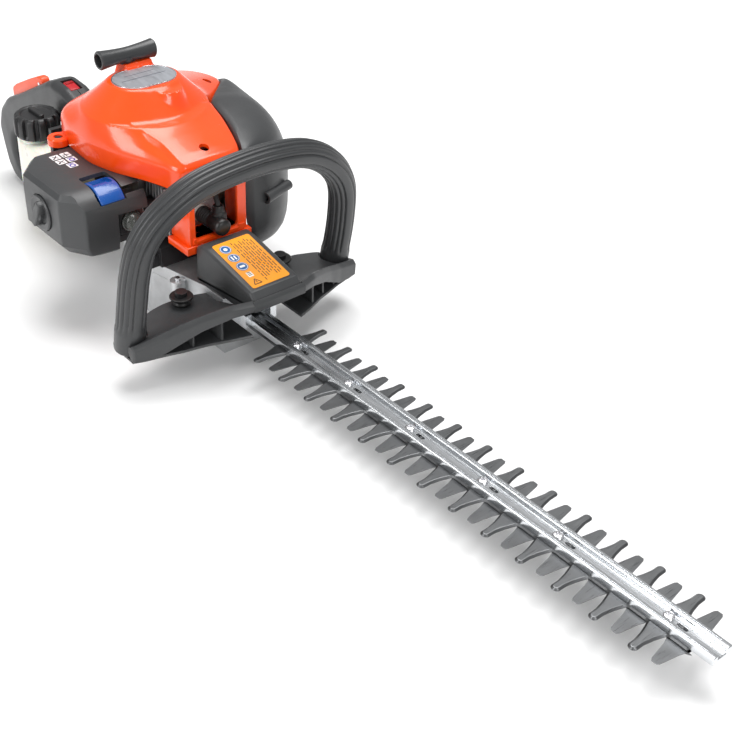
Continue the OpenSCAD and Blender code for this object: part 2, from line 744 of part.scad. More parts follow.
module gear_bearings() {
    color("silver") for (p = [[gear_x, 18.3], [gear_x, 46.5], [crank_x, 46.5]]) translate([p[0], 0, p[1]]) {
        tube(10, 8.2, 6.5);
        tube(6.8, 5.05, 6.5);
        for (a = [0:45:315]) rotate(a) translate([7.5, 0, 0.8]) cylinder(r = 1.3, h = 4.8);
    }
}

// ---- cutting bar ----

upper_tooth = concat([[-11, strip_half_w], [-8.4, 12], [-7.2, 16], [-5.4, 22], [-3.9, 30]],
    arc([0, upper_reach - 4], 3.9, 165, 15, 6), [[3.9, 30], [5.4, 22], [7.2, 16], [8.4, 12], [11, strip_half_w]]);
lower_tooth = [[-12, strip_half_w], [-8.6, 12], [-6.6, 18], [-3.6, lower_reach - 2], [-2, lower_reach],
    [2, lower_reach], [3.6, lower_reach - 2], [6.6, 18], [8.6, 12], [12, strip_half_w]];

module slot_2d(half, r) {
    square([2 * half, 2 * r], center = true);
    for (s = [-1, 1]) translate([s * half, 0]) circle(r = r);
}

// Outline of one blade: a toothed strip with a square yoke around the eccentric at its rear.
module blade_2d(tooth, shift) {
    yoke_x = yoke_half_x + yoke_rim;
    yoke_y = yoke_half_y + yoke_rim;
    edge = concat([[gear_x - yoke_x, yoke_y], [gear_x + yoke_x, yoke_y], [gear_x + yoke_x, strip_half_w]],
        [for (i = [0:tooth_count - 1]) for (p = tooth) p + [first_tooth_x + shift + tooth_pitch * i, 0]],
        [[blade_end_x, strip_half_w]]);
    difference() {
        polygon(concat(edge, [for (i = [len(edge) - 1:-1:0]) [edge[i][0], -edge[i][1]]]));
        translate([gear_x, 0]) square([2 * yoke_half_x, 2 * yoke_half_y], center = true);
        for (x = bolt_x) translate([x, 0]) slot_2d(half_stroke + 0.6, bolt_r + 0.3);
    }
}

module upper_blade() {
    color(steel) translate([0, 0, blade_z + gap]) linear_extrude(blade_t)
        blade_2d(upper_tooth, 0);
}

module lower_blade() {
    color(steel) translate([0, 0, blade_z - gap - blade_t]) linear_extrude(blade_t)
        blade_2d(lower_tooth, tooth_pitch / 2);
}

module guide_bar() {
    color(alloy) difference() {
        block([bar_rear_x, -bar_w / 2, bar_bottom_z], [bar_tip_x, bar_w / 2, bar_top_z]);
        block([bar_rear_x - 1, -5, channel_z], [bar_tip_x + 1, 5, bar_top_z + 1]);
        for (x = bolt_x) translate([x, 0, 20]) cylinder(r = bolt_r + 0.05, h = 30);
        for (x = bolt_x) translate([x + 12, 0, 30]) linear_extrude(20) slot_2d(3, 1.6);
    }
}

module blade_bolts() {
    color("silver") for (x = bolt_x) translate([x, 0, 0]) {
        translate([0, 0, 24.5]) cylinder(r = bolt_r, h = channel_z - 24.5);
        difference() {
            translate([0, 0, channel_z]) cylinder(r = 4.4, h = 3);
            for (a = [0, 90]) rotate(a) block([-2.4, -0.7, channel_z + 1.6], [2.4, 0.7, channel_z + 4]);
        }
    }
}

module blade_nuts() {
    color("silver") for (x = bolt_x) translate([x, 0, 24.6]) {
        tube(4.6, bolt_r + 0.02, 3.2);
        translate([0, 0, 3.2]) tube(7, bolt_r + 0.02, 1);
    }
}

module bar_bracket() {
    color("gainsboro") difference() {
        union() {
            block([-41.8, -17, 33.2], [-22, -10.6, 46]);
            block([-41.8, 10.6, 33.2], [-22, 17, 46]);
            block([-41.8, -17, 40], [-34, 17, 46]);
        }
        for (y = [-13.8, 13.8]) translate([-30, y, 20]) cylinder(r = 1.6, h = 40);
    }
}

module av_mounts() {
    color([0.1, 0.1, 0.1]) for (y = [-55, 55]) translate([-66, y, 52.1]) tube(8, 3.05, 9);
}

module av_screws_set() {
    for (y = [-55, 55]) translate([-66, y, 35]) {
        cylinder(r = 2.95, h = 27);
        translate([0, 0, 26.2]) cylinder(r = 5.5, h = 4);
    }
}

module cover_screws() {
    color("dimgray") {
        translate([-106, 2, 144]) cylinder(r = 3, h = 22);
        translate([-230, 90.5, 144]) cylinder(r = 3, h = 15);
        translate([-244, -67, 143.5]) cylinder(r = 3, h = 6);
        av_screws_set();
    }
}

module gearcase_screws() {
    color("silver") for (p = case_screw_spots) translate([p[0], p[1], 0]) {
        translate([0, 0, 16]) cylinder(r = 1.95, h = 39.2);
        translate([0, 0, p[0] < gear_x ? 55 : 55.2]) cylinder(r = 2.5, h = 2.6);
    }
}

starter_cover();
badge_plate();
starter_grip();
starter_rope();
rope_guide();
starter_pulley();
recoil_spring();
front_shroud();
flywheel();
crankshaft();
clutch_rotor();
clutch_drum();
crankcase();
crank_bearings();
cylinder_node();  // cylinder
piston();
connecting_rod();
spark_plug();
plug_cap();
ignition_lead();
ignition_coil();
carburettor();
intake_manifold();
filter_element();
filter_cover();
filter_knob();
icon_label();
choke_lever();
primer_bulb();
muffler();
muffler_cover();
fuel_tank();
fuel_cap();
fuel_hose();
base_frame();
rear_handle_left();
rear_handle_right();
throttle_trigger();
trigger_spring();
throttle_lockout();
stop_switch();
front_handle();
handle_screws();
hand_guard();
gear_cover();
warning_label();
gearcase_upper();
gearcase_lower();
crank_gear();
gear_bearings();
guide_bar();
upper_blade();
lower_blade();
blade_bolts();
blade_nuts();
bar_bracket();
av_mounts();
cover_screws();
gearcase_screws();
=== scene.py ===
import json
import math

import bmesh
import bpy
import numpy as np
from mathutils import Matrix, Vector
from mathutils.geometry import tessellate_polygon

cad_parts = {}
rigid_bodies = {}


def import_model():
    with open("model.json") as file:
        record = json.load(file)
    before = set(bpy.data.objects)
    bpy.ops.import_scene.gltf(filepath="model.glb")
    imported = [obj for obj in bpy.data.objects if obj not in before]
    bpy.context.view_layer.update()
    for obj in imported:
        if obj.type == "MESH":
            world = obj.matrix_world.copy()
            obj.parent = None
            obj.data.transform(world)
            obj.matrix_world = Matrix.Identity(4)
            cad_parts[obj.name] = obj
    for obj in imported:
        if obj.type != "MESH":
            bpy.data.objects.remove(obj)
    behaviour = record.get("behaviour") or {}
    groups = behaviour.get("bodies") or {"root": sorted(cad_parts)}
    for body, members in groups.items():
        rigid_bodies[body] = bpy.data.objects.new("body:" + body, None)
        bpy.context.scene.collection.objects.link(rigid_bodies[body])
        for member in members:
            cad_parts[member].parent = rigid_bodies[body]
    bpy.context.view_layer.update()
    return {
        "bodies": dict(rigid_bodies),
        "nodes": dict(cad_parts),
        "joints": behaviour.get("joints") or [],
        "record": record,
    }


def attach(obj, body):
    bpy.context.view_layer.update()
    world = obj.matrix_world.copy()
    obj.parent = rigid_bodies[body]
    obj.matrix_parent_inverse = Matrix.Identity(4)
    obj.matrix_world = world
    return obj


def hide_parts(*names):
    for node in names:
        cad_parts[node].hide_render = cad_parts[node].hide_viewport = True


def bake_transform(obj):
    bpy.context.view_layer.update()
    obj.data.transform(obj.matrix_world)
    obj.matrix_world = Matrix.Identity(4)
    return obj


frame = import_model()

# Petrol hedge trimmer. Shapes below are in millimetres in the row frame: +X along the bar to its tip,
# +Y the muffler side, +Z up. Objects are made in metres.
MM = 0.001
TAU = 2 * math.pi
scene = bpy.context.scene


# ---------------------------------------------------------------- materials

def linear(rgb):
    """A colour as a display shows it, 0 to 1, made linear."""
    return tuple(c / 12.92 if c <= 0.04045 else ((c + 0.055) / 1.055) ** 2.4 for c in rgb)


class Shader:
    """A node tree being built, with short calls for the nodes that the materials share."""

    def __init__(self, name):
        self.mat = bpy.data.materials.new(name)
        self.mat.use_nodes = True
        self.tree = self.mat.node_tree
        self.bsdf = self.tree.nodes["Principled BSDF"]
        self.coord = self.tree.nodes.new("ShaderNodeTexCoord").outputs["Object"]

    def node(self, kind, **values):
        made = self.tree.nodes.new(kind)
        for key, value in values.items():
            if hasattr(made, key):
                setattr(made, key, value)
            else:
                made.inputs[key.replace("_", " ")].default_value = value
        return made

    def link(self, a, b):
        self.tree.links.new(a, b)

    def noise(self, scale, stretch=(1, 1, 1), detail=3.0, rough=0.5):
        mapping = self.node("ShaderNodeMapping")
        mapping.inputs["Scale"].default_value = [scale * s for s in stretch]
        self.link(self.coord, mapping.inputs["Vector"])
        tex = self.node("ShaderNodeTexNoise", Scale=1.0, Detail=detail, Roughness=rough)
        self.link(mapping.outputs[0], tex.inputs["Vector"])
        return tex.outputs["Fac"]

    def spread(self, value, low, high, from_low=0.3, from_high=0.7):
        r = self.node("ShaderNodeMapRange")
        for i, v in enumerate((from_low, from_high, low, high)):
            r.inputs[i + 1].default_value = v
        self.link(value, r.inputs[0])
        return r.outputs[0]

    def mix(self, factor, a, b):
        m = self.node("ShaderNodeMix", data_type="RGBA")
        for socket, value in ((m.inputs[0], factor), (m.inputs[6], a), (m.inputs[7], b)):
            if isinstance(value, bpy.types.NodeSocket):
                self.link(value, socket)
            else:
                socket.default_value = (*value, 1) if isinstance(value, tuple) else value
        return m.outputs[2]

    def edge(self, radius, power):
        """0 on flat faces, rising to 1 along convex and concave edges."""
        bevel = self.node("ShaderNodeBevel", samples=4)
        bevel.inputs["Radius"].default_value = radius
        geometry = self.node("ShaderNodeNewGeometry")
        dot = self.node("ShaderNodeVectorMath", operation="DOT_PRODUCT")
        self.link(bevel.outputs[0], dot.inputs[0])
        self.link(geometry.outputs["Normal"], dot.inputs[1])
        return self.spread(dot.outputs["Value"], power, 0.0, 0.86, 0.995)

    def bump(self, layers, soften=0.0):
        """layers is a list of (height, distance in metres); soften rounds sharp edges by that radius."""
        normal = None
        if soften:
            bevel = self.node("ShaderNodeBevel", samples=4)
            bevel.inputs["Radius"].default_value = soften
            normal = bevel.outputs[0]
        for height, distance in layers:
            b = self.node("ShaderNodeBump", Strength=1.0, Distance=distance)
            self.link(height, b.inputs["Height"])
            if normal is not None:
                self.link(normal, b.inputs["Normal"])
            normal = b.outputs[0]
        self.link(normal, self.bsdf.inputs["Normal"])

    def set(self, **values):
        for key, value in values.items():
            socket = self.bsdf.inputs[key.replace("_", " ")]
            if isinstance(value, bpy.types.NodeSocket):
                self.link(value, socket)
            else:
                socket.default_value = (*value, 1) if isinstance(value, tuple) and len(value) == 3 else value
        return self.mat


def shade(rgb, k):
    return tuple(min(1.0, c * k) for c in rgb)


def plastic(name, rgb, rough, grain=1500, depth=0.00003, coat=0.0, wear=0.25, soften=0.0, mottle=0.06):
    """Moulded plastic: fine surface grain, faint colour drift, paler rubbed edges, dust in the roughness."""
    s = Shader(name)
    drift = s.spread(s.noise(14, detail=4), 0.0, 1.0)
    base = s.mix(drift, shade(rgb, 1 - mottle), shade(rgb, 1 + mottle))
    rubbed = s.spread(s.noise(260, detail=5, rough=0.65), 0.0, 1.0, 0.42, 0.62)
    edge = s.edge(0.0012, wear)
    m = s.node("ShaderNodeMath", operation="MULTIPLY")
    s.link(rubbed, m.inputs[0])
    s.link(edge, m.inputs[1])
    base = s.mix(m.outputs[0], base, tuple(c + (0.55 - c) * 0.35 for c in rgb))
    s.bump([(s.noise(grain, detail=2), depth), (s.noise(35, detail=2), depth * 3)], soften)
    rough_map = s.spread(s.noise(60, detail=6, rough=0.6), rough * 0.85, rough * 1.15)
    return s.set(Base_Color=base, Roughness=rough_map, Coat_Weight=coat, Coat_Roughness=0.06)


def metal(name, rgb, rough, stretch=(1, 1, 1), scale=900, depth=0.00001, soften=0.0003, stain=0.12, edge_gain=0.3):
    """Machined or cast metal: brushing along one axis, faint stains, brighter worn edges."""
    s = Shader(name)
    streak = s.noise(scale, stretch, detail=3, rough=0.6)
    cloud = s.spread(s.noise(45, detail=5, rough=0.6), 0.0, 1.0)
    base = s.mix(cloud, shade(rgb, 1 - stain), shade(rgb, 1 + stain))
    base = s.mix(s.spread(streak, 0.0, 0.35), base, shade(rgb, 1.25))
    base = s.mix(s.edge(0.0008, edge_gain), base, shade(rgb, 1.5))
    rough_map = s.spread(streak, rough * 0.75, rough * 1.3)
    s.bump([(streak, depth)], soften)
    return s.set(Base_Color=base, Metallic=1.0, Roughness=rough_map)


M = {}
for name, shown, rough, more in (
        ("orange_shell", (0.98, 0.30, 0.045), 0.24, dict(grain=900, depth=0.000004, coat=0.3, wear=0.1,
                                                         mottle=0.03)),
        ("dark_shell", (0.225, 0.23, 0.235), 0.40, dict(grain=1700)),
        ("black_plastic", (0.13, 0.13, 0.135), 0.42, dict(soften=0.0004)),
        ("grip_plastic", (0.205, 0.21, 0.215), 0.34, dict(grain=1900, depth=0.00002)),
        ("rubber_black", (0.075, 0.075, 0.075), 0.42, dict(soften=0.0006)),
        ("blue_plastic", (0.0, 0.30, 0.62), 0.26, dict(grain=700, depth=0.000004, coat=0.4)),
        ("red_plastic", (0.72, 0.07, 0.12), 0.35, dict(soften=0.0005)),
        ("lockout_plastic", (0.95, 0.34, 0.18), 0.32, dict(soften=0.0012)),
        ("porcelain", (0.92, 0.91, 0.88), 0.12, dict(grain=300, depth=0.000002, coat=0.5, wear=0.0)),
        ("foam", (0.86, 0.82, 0.70), 0.9, dict(grain=420, depth=0.0009, wear=0.0)),
        ("lead_rubber", (0.10, 0.10, 0.10), 0.42, dict(grain=800, wear=0.05)),
        ("hose_rubber", (0.66, 0.58, 0.36), 0.3, dict(grain=800, wear=0.05)),
        ("black_screw", (0.10, 0.10, 0.105), 0.4, dict(soften=0.0004, wear=0.35)),
        ("rope_fibre", (0.86, 0.86, 0.84), 0.8, dict(grain=900, depth=0.0004)),
        ("icon_film", (0.9, 0.9, 0.9), 0.35, {}),
        ("warning_amber", (1.0, 0.63, 0.11), 0.3, dict(coat=0.3)),
        ("print_black", (0.16, 0.16, 0.17), 0.4, dict(wear=0.0)),
        ("print_violet", (0.30, 0.28, 0.62), 0.4, dict(wear=0.0)),
        ("print_grey", (0.30, 0.31, 0.36), 0.4, dict(wear=0.0)),
        ("print_blue", (0.0, 0.36, 0.62), 0.35, dict(wear=0.0)),
        ("print_brown", (0.35, 0.22, 0.08), 0.4, dict(wear=0.0)),
        ("print_white", (0.95, 0.95, 0.93), 0.4, dict(wear=0.0))):
    M[name] = plastic(name, linear(shown), rough, **more)
for name, shown, rough, more in (
        ("badge_silver", (0.68, 0.69, 0.71), 0.5, dict(stretch=(1, 30, 1), scale=60, stain=0.04)),
        ("blade_steel", (0.43, 0.435, 0.44), 0.34, dict(stretch=(30, 1, 1), scale=60)),
        ("bar_alloy", (0.84, 0.85, 0.86), 0.22,
         dict(stretch=(1, 40, 40), scale=50, depth=0.000003, stain=0.05, edge_gain=0.15)),
        ("cast_alloy", (0.80, 0.805, 0.81), 0.5, dict(scale=700, depth=0.00008, soften=0.001)),
        ("machine_steel", (0.74, 0.735, 0.73), 0.3, dict(stretch=(1, 1, 20), scale=60)),
        ("bright_screw", (0.86, 0.86, 0.87), 0.24, dict(scale=400)),
        ("heat_steel", (0.58, 0.52, 0.46), 0.45, dict(scale=200, stain=0.3))):
    M[name] = metal(name, linear(shown), rough, **more)

s = Shader("tank_plastic")
s.bump([(s.noise(500, detail=2), 0.00002)], 0.0012)
M["tank_plastic"] = s.set(
    Base_Color=s.mix(s.spread(s.noise(12, detail=3), 0, 1), linear((0.90, 0.89, 0.84)),
                     linear((0.97, 0.96, 0.92))),
    Roughness=s.spread(s.noise(80), 0.25, 0.4), Subsurface_Weight=0.4, Subsurface_Scale=0.01)
s = Shader("bulb_clear")
s.bump([(s.noise(200, detail=2), 0.00002)])
M["bulb_clear"] = s.set(
    Base_Color=s.mix(s.spread(s.noise(60), 0, 1), linear((0.34, 0.35, 0.34)), linear((0.44, 0.45, 0.43))),
    Roughness=s.spread(s.noise(300), 0.05, 0.14), Transmission_Weight=0.5, IOR=1.42)

slots = {m["slot"]: M[m["slot"]] for m in frame["record"]["materials"]}
for node in frame["nodes"].values():
    for material_slot in node.material_slots:
        key = material_slot.material.name.split(".")[0] if material_slot.material else ""
        if key in slots:
            material_slot.material = slots[key]


# ---------------------------------------------------------------- shapes

def unit(v):
    return np.asarray(v, float) / np.linalg.norm(v)


def rounded(points, radii, steps=5):
    """A closed 2D polygon with its corners turned into arcs; radii is one number or one for each corner."""
    pts = [np.array(p, float) for p in points]
    out = []
    for i, p in enumerate(pts):
        a, b = pts[i - 1], pts[(i + 1) % len(pts)]
        radius = radii[i] if hasattr(radii, "__len__") else radii
        u, v = unit(a - p), unit(b - p)
        half = math.acos(max(-1.0, min(1.0, float(u @ v)))) / 2
        reach = min(radius / math.tan(half), 0.48 * np.linalg.norm(a - p), 0.48 * np.linalg.norm(b - p))
        radius = reach * math.tan(half)
        if radius < 0.05 or half > 1.55:
            out.append(p)
            continue
        centre = p + unit(u + v) * radius / math.sin(half)
        start, end = p + u * reach - centre, p + v * reach - centre
        a0 = math.atan2(start[1], start[0])
        turn = (math.atan2(end[1], end[0]) - a0 + math.pi) % TAU - math.pi
        for k in range(steps + 1):
            angle = a0 + turn * k / steps
            out.append(centre + radius * np.array((math.cos(angle), math.sin(angle))))
    return np.array(out)


def circle(cx, cy, r, n=32):
    return np.array([(cx + r * math.cos(TAU * k / n), cy + r * math.sin(TAU * k / n)) for k in range(n)])


def rect(x0, y0, x1, y1):
    return [(x0, y0), (x1, y0), (x1, y1), (x0, y1)]


def rod(r, low, high):
    """Lathe profile of a plain round bar, used for pins and drilled holes."""
    return [(0.01, low), (r, low), (r, high), (0.01, high)]


def wall(low, high):
    """Slab profile with square edges."""
    return [(low, 0), (high, 0)]


def capsule(cx, cy, half, r, n=10):
    """A slot outline along X."""
    ends = [(cx + half, -90), (cx - half, 90)]
    return np.array([(x + r * math.cos(math.radians(a0 + 180 * k / n)),
                      cy + r * math.sin(math.radians(a0 + 180 * k / n)))
                     for x, a0 in ends for k in range(n + 1)])


def catmull(points, per=6, closed=False):
    """A smooth curve through the points."""
    p = np.array(points, float)
    n = len(p)
    out = []
    for i in range(n if closed else n - 1):
        pick = [(i + k) % n if closed else min(max(i + k, 0), n - 1) for k in (-1, 0, 1, 2)]
        a, b, c, d = p[pick]
        for k in range(per):
            t = k / per
            out.append(0.5 * (2 * b + (c - a) * t + (2 * a - 5 * b + 4 * c - d) * t * t
                              + (3 * b - a - 3 * c + d) * t ** 3))
    if not closed:
        out.append(p[-1])
    return np.array(out)


def signed_area(loop):
    x, y = loop[:, 0], loop[:, 1]
    return 0.5 * float(np.sum(x * np.roll(y, -1) - np.roll(x, -1) * y))


def leftward(loop):
    """The loop run anticlockwise, so that its inside is on its left."""
    return loop if signed_area(loop) > 0 else loop[::-1]


def inset(loop, d):
    """The loop moved to its left by d, with mitred corners."""
    if abs(d) <= 1e-9:
        return loop
    before, after = loop - np.roll(loop, 1, 0), np.roll(loop, -1, 0) - loop
    n0 = np.stack([-before[:, 1], before[:, 0]], 1) / np.linalg.norm(before, axis=1)[:, None]
    n1 = np.stack([-after[:, 1], after[:, 0]], 1) / np.linalg.norm(after, axis=1)[:, None]
    m = n0 + n1
    m /= np.maximum(np.linalg.norm(m, axis=1), 1e-6)[:, None]
    stretch = 1 / np.maximum((m * n0).sum(1), 0.6)
    return loop + m * (d * stretch)[:, None]


def fillet(low, high, r_low, r_high, steps=4):
    """(height, inset) pairs of a wall from low to high with rounded foot and top edges."""
    angles = [math.pi / 2 * k / steps for k in range(steps + 1)]
    foot = [(low + r_low * (1 - math.cos(a)), r_low * (1 - math.sin(a))) for a in angles] if r_low else [(low, 0)]
    top = [(high - r_high * (1 - math.cos(a)), r_high * (1 - math.sin(a))) for a in reversed(angles)]
    return foot + (top if r_high else [(high, 0)])


XY = lambda u, v, w: (u, v, w)
XZ = lambda u, v, w: (u, w, v)
YZ = lambda u, v, w: (w, u, v)


def slab(loops, profile, place=XY):
    """A plate through closed 2D loops, outline first and then holes. profile lists (height, inset)."""
    fixed = []
    for i, loop in enumerate(loops):
        loop = np.asarray(loop, float)
        fixed.append(loop if (signed_area(loop) > 0) == (i == 0) else loop[::-1])
    total = sum(len(loop) for loop in fixed)
    verts, faces = [], []
    for height, d in profile:
        for loop in fixed:
            verts += [place(u, v, height) for u, v in inset(loop, d)]
    for ring in range(len(profile) - 1):
        start = ring * total
        for loop in fixed:
            n = len(loop)
            for k in range(n):
                a, b = start + k, start + (k + 1) % n
                faces.append((a, b, b + total, a + total))
            start += n
    for ring, flip in ((0, True), (len(profile) - 1, False)):
        caps = [[Vector((u, v, 0)) for u, v in inset(loop, profile[ring][1])] for loop in fixed]
        tri = tessellate_polygon(caps) if len(caps) > 1 else [tuple(range(total))]
        base = ring * total
        faces += [tuple(base + i for i in (reversed(t) if flip else t)) for t in tri]
    return np.array(verts, float), faces


def lathe(profile, centre, axis="z", segments=40):
    """A closed (radius, height) profile turned about an axis through centre."""
    verts, faces = [], []
    n = len(profile)
    c = np.array(centre, float)
    for s in range(segments):
        co, si = math.cos(TAU * s / segments), math.sin(TAU * s / segments)
        for r, h in profile:
            p = {"z": (r * co, r * si, h), "x": (h, r * co, r * si), "y": (r * si, h, r * co)}[axis]
            verts.append(c + p)
    for s in range(segments):
        t = (s + 1) % segments
        for k in range(n):
            j = (k + 1) % n
            faces.append((s * n + k, t * n + k, t * n + j, s * n + j))
    return np.array(verts, float), faces


def skin(rings, top=True):
    """Closed rings of points, all of one count, joined into a skin whose ends are capped."""
    n, last = len(rings[0]), len(rings) - 1
    faces = [(i * n + k, i * n + (k + 1) % n, (i + 1) * n + (k + 1) % n, (i + 1) * n + k)
             for i in range(last) for k in range(n)]
    faces.append(tuple(reversed(range(n))))
    if top:
        faces.append(tuple(range(last * n, (last + 1) * n)))
    return np.array([p for r in rings for p in r], float), faces


def sweep(path, ring, up=(0, 0, 1)):
    """Sections ring(i), each an n x 2 array, carried along a path without twist."""
    path = np.array(path, float)
    n = len(path)
    tangents = [unit(path[min(i + 1, n - 1)] - path[max(i - 1, 0)]) for i in range(n)]
    u = unit(np.cross(up, tangents[0]))
    rings = []
    for i in range(n):
        u = unit(u - (u @ tangents[i]) * tangents[i])
        v = np.cross(tangents[i], u)
        rings.append([path[i] + a * u + b * v for a, b in ring(i)])
    return skin(rings)


def brick(low, high, r=1.0):
    """A block with rounded edges all round."""
    (x0, y0, z0), (x1, y1, z1) = low, high
    plan = rounded(rect(x0, y0, x1, y1), r * 1.5, 4)
    return slab([plan], fillet(z0, z1, r, r, 3))


def shifted(geometry, by):
    return geometry[0] + np.array(by, float), geometry[1]


def turned(geometry, degrees, axis, about=(0, 0, 0)):
    spin = np.array(Matrix.Rotation(math.radians(degrees), 3, axis))
    about = np.array(about, float)
    return (geometry[0] - about) @ spin.T + about, geometry[1]


def finish_mesh(me, angle):
    bm = bmesh.new()
    bm.from_mesh(me)
    bmesh.ops.remove_doubles(bm, verts=bm.verts, dist=2e-6)
    bmesh.ops.dissolve_degenerate(bm, dist=1e-6, edges=bm.edges)
    bmesh.ops.recalc_face_normals(bm, faces=bm.faces)
    bm.to_mesh(me)
    bm.free()
    me.shade_smooth()
    me.set_sharp_from_angle(angle=math.radians(angle))


def raw_object(name, geometries, material):
    """A mesh object from (verts, faces) pairs in millimetres."""
    verts, faces = [], []
    for points, polygons in geometries:
        start = len(verts)
        verts += [tuple(np.array(v) * MM) for v in points]
        faces += [tuple(start + i for i in f) for f in polygons]
    me = bpy.data.meshes.new(name)
    me.from_pydata(verts, [], faces)
    me.materials.append(material)
    ob = bpy.data.objects.new(name, me)
    scene.collection.objects.link(ob)
    return ob


def settle(ob):
    """Applies the modifiers of an object to its mesh."""
    bpy.context.view_layer.update()
    made = bpy.data.meshes.new_from_object(ob.evaluated_get(bpy.context.evaluated_depsgraph_get()))
    ob.modifiers.clear()
    old, ob.data = ob.data, made
    bpy.data.meshes.remove(old)


def cut(ob, tools, operation="DIFFERENCE"):
    for t in tools:
        tool = raw_object("tool", [t], ob.data.materials[0])
        finish_mesh(tool.data, 30)
        m = ob.modifiers.new("cut", "BOOLEAN")
        m.operation, m.solver, m.object = operation, "EXACT", tool
        settle(ob)
        data = tool.data
        bpy.data.objects.remove(tool)
        bpy.data.meshes.remove(data)


def hand_over(ob, angle, body="root", replaces=()):
    """Finishes a piece's mesh, hides the parts it stands for and sets what it rides on."""
    finish_mesh(ob.data, angle)
    if replaces:
        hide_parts(*replaces)
    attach(ob, body)


def piece(name, geometries, slot, body="root", replaces=(), cuts=(), angle=32, paint=None):
    """A finished piece: meshes joined, holes cut, riding on a body. paint is a colour of its own."""
    ob = raw_object(name, geometries, M[paint or slot])
    finish_mesh(ob.data, angle)
    cut(ob, cuts)
    hand_over(ob, angle, body, replaces)


def smax(a, b, k):
    h = np.maximum(k - np.abs(a - b), 0) / k
    return np.maximum(a, b) + h * h * k / 4


def smin(a, b, k):
    return -smax(-a, -b, k)


# ---------------------------------------------------------------- starter cover

AXIS = np.array((-197.0, 0.0))
ROPE_X = -225.0
COVER_OUTLINE = catmull([
    (-93, -26), (-91, 0), (-92.5, 24), (-97, 33), (-110, 38.5), (-122, 42), (-139, 46.5), (-156, 49.5), (-171, 54),
    (-188, 68), (-205, 83.5), (-221, 98.5), (-234, 109.5), (-246, 114), (-263, 111), (-278, 102), (-286, 88),
    (-286, 62), (-283, 30), (-281, 0), (-280, -20), (-273, -40), (-260, -54), (-242, -60.5), (-223, -63),
    (-194, -64.5),
    (-172, -60), (-157, -55), (-142, -48), (-129, -42.5), (-114, -37.5), (-100, -33.5)], 6, closed=True)


def polar_reach(outline, centre, angles):
    """Distance from centre to a star-shaped outline in each direction."""
    d = outline - centre
    a = np.unwrap(np.arctan2(d[:, 1], d[:, 0]))
    order = np.argsort(a)
    a, r = a[order], np.hypot(d[:, 0], d[:, 1])[order]
    a, r = np.concatenate([a - TAU, a, a + TAU]), np.tile(r, 3)
    return np.interp(angles, a, r)


def cover_height(x, y, reach):
    """Top of the starter cover: a domed cone on a sloping skirt, with a crowned hood running forward."""
    rho, phi = np.hypot(x - AXIS[0], y - AXIS[1]), np.arctan2(y - AXIS[1], x - AXIS[0])
    rim = 27.5 + 6.5 * np.sin(phi) ** 2
    front = np.clip((np.cos(phi) - 0.35) / 0.5, 0, 1)
    foot = 58 - 8 * front
    t = (rho - rim) / (foot - rim)
    cone = 208 - 24 * t
    skirt_t = np.clip((rho - 58) / np.maximum(reach - 58, 4), 0, 1.2)
    skirt = 184 - 17 * skirt_t - np.maximum(rho - 58, 0) * 0.05
    body = np.where(rho > foot, smin(cone, skirt + 0 * cone, 0.5), cone)
    body = smax(body, np.where(rho > 30, skirt, -1e3), 1.6)
    lobe = 204 - np.maximum(np.hypot(x + 174, y - 8) - 15, 0) * 2.6
    body = smax(body, lobe, 3.0)
    crest = np.interp(x, [-200, -162, -150, -126, -104, -96, -90], [190, 189, 186, 179.5, 172.5, 169, 165])
    half = np.interp(x, [-175, -162, -126, -103, -90], [42, 38, 28.5, 28, 26])
    hood = crest - 0.0023 * y * y - np.maximum(-y - half, 0) * 1.5 - np.maximum(-162 - x, 0) * 0.6
    body = smax(body, hood, 1.2)
    neck = 213 - np.maximum(np.hypot(np.maximum(np.abs(x + 226) - 6, 0), np.maximum(np.abs(y - 9) - 13, 0)) - 1,
                            0) * 3.0
    body = smin(body, 208 + 0 * body, 2.0)
    return smax(body, neck, 3.0)


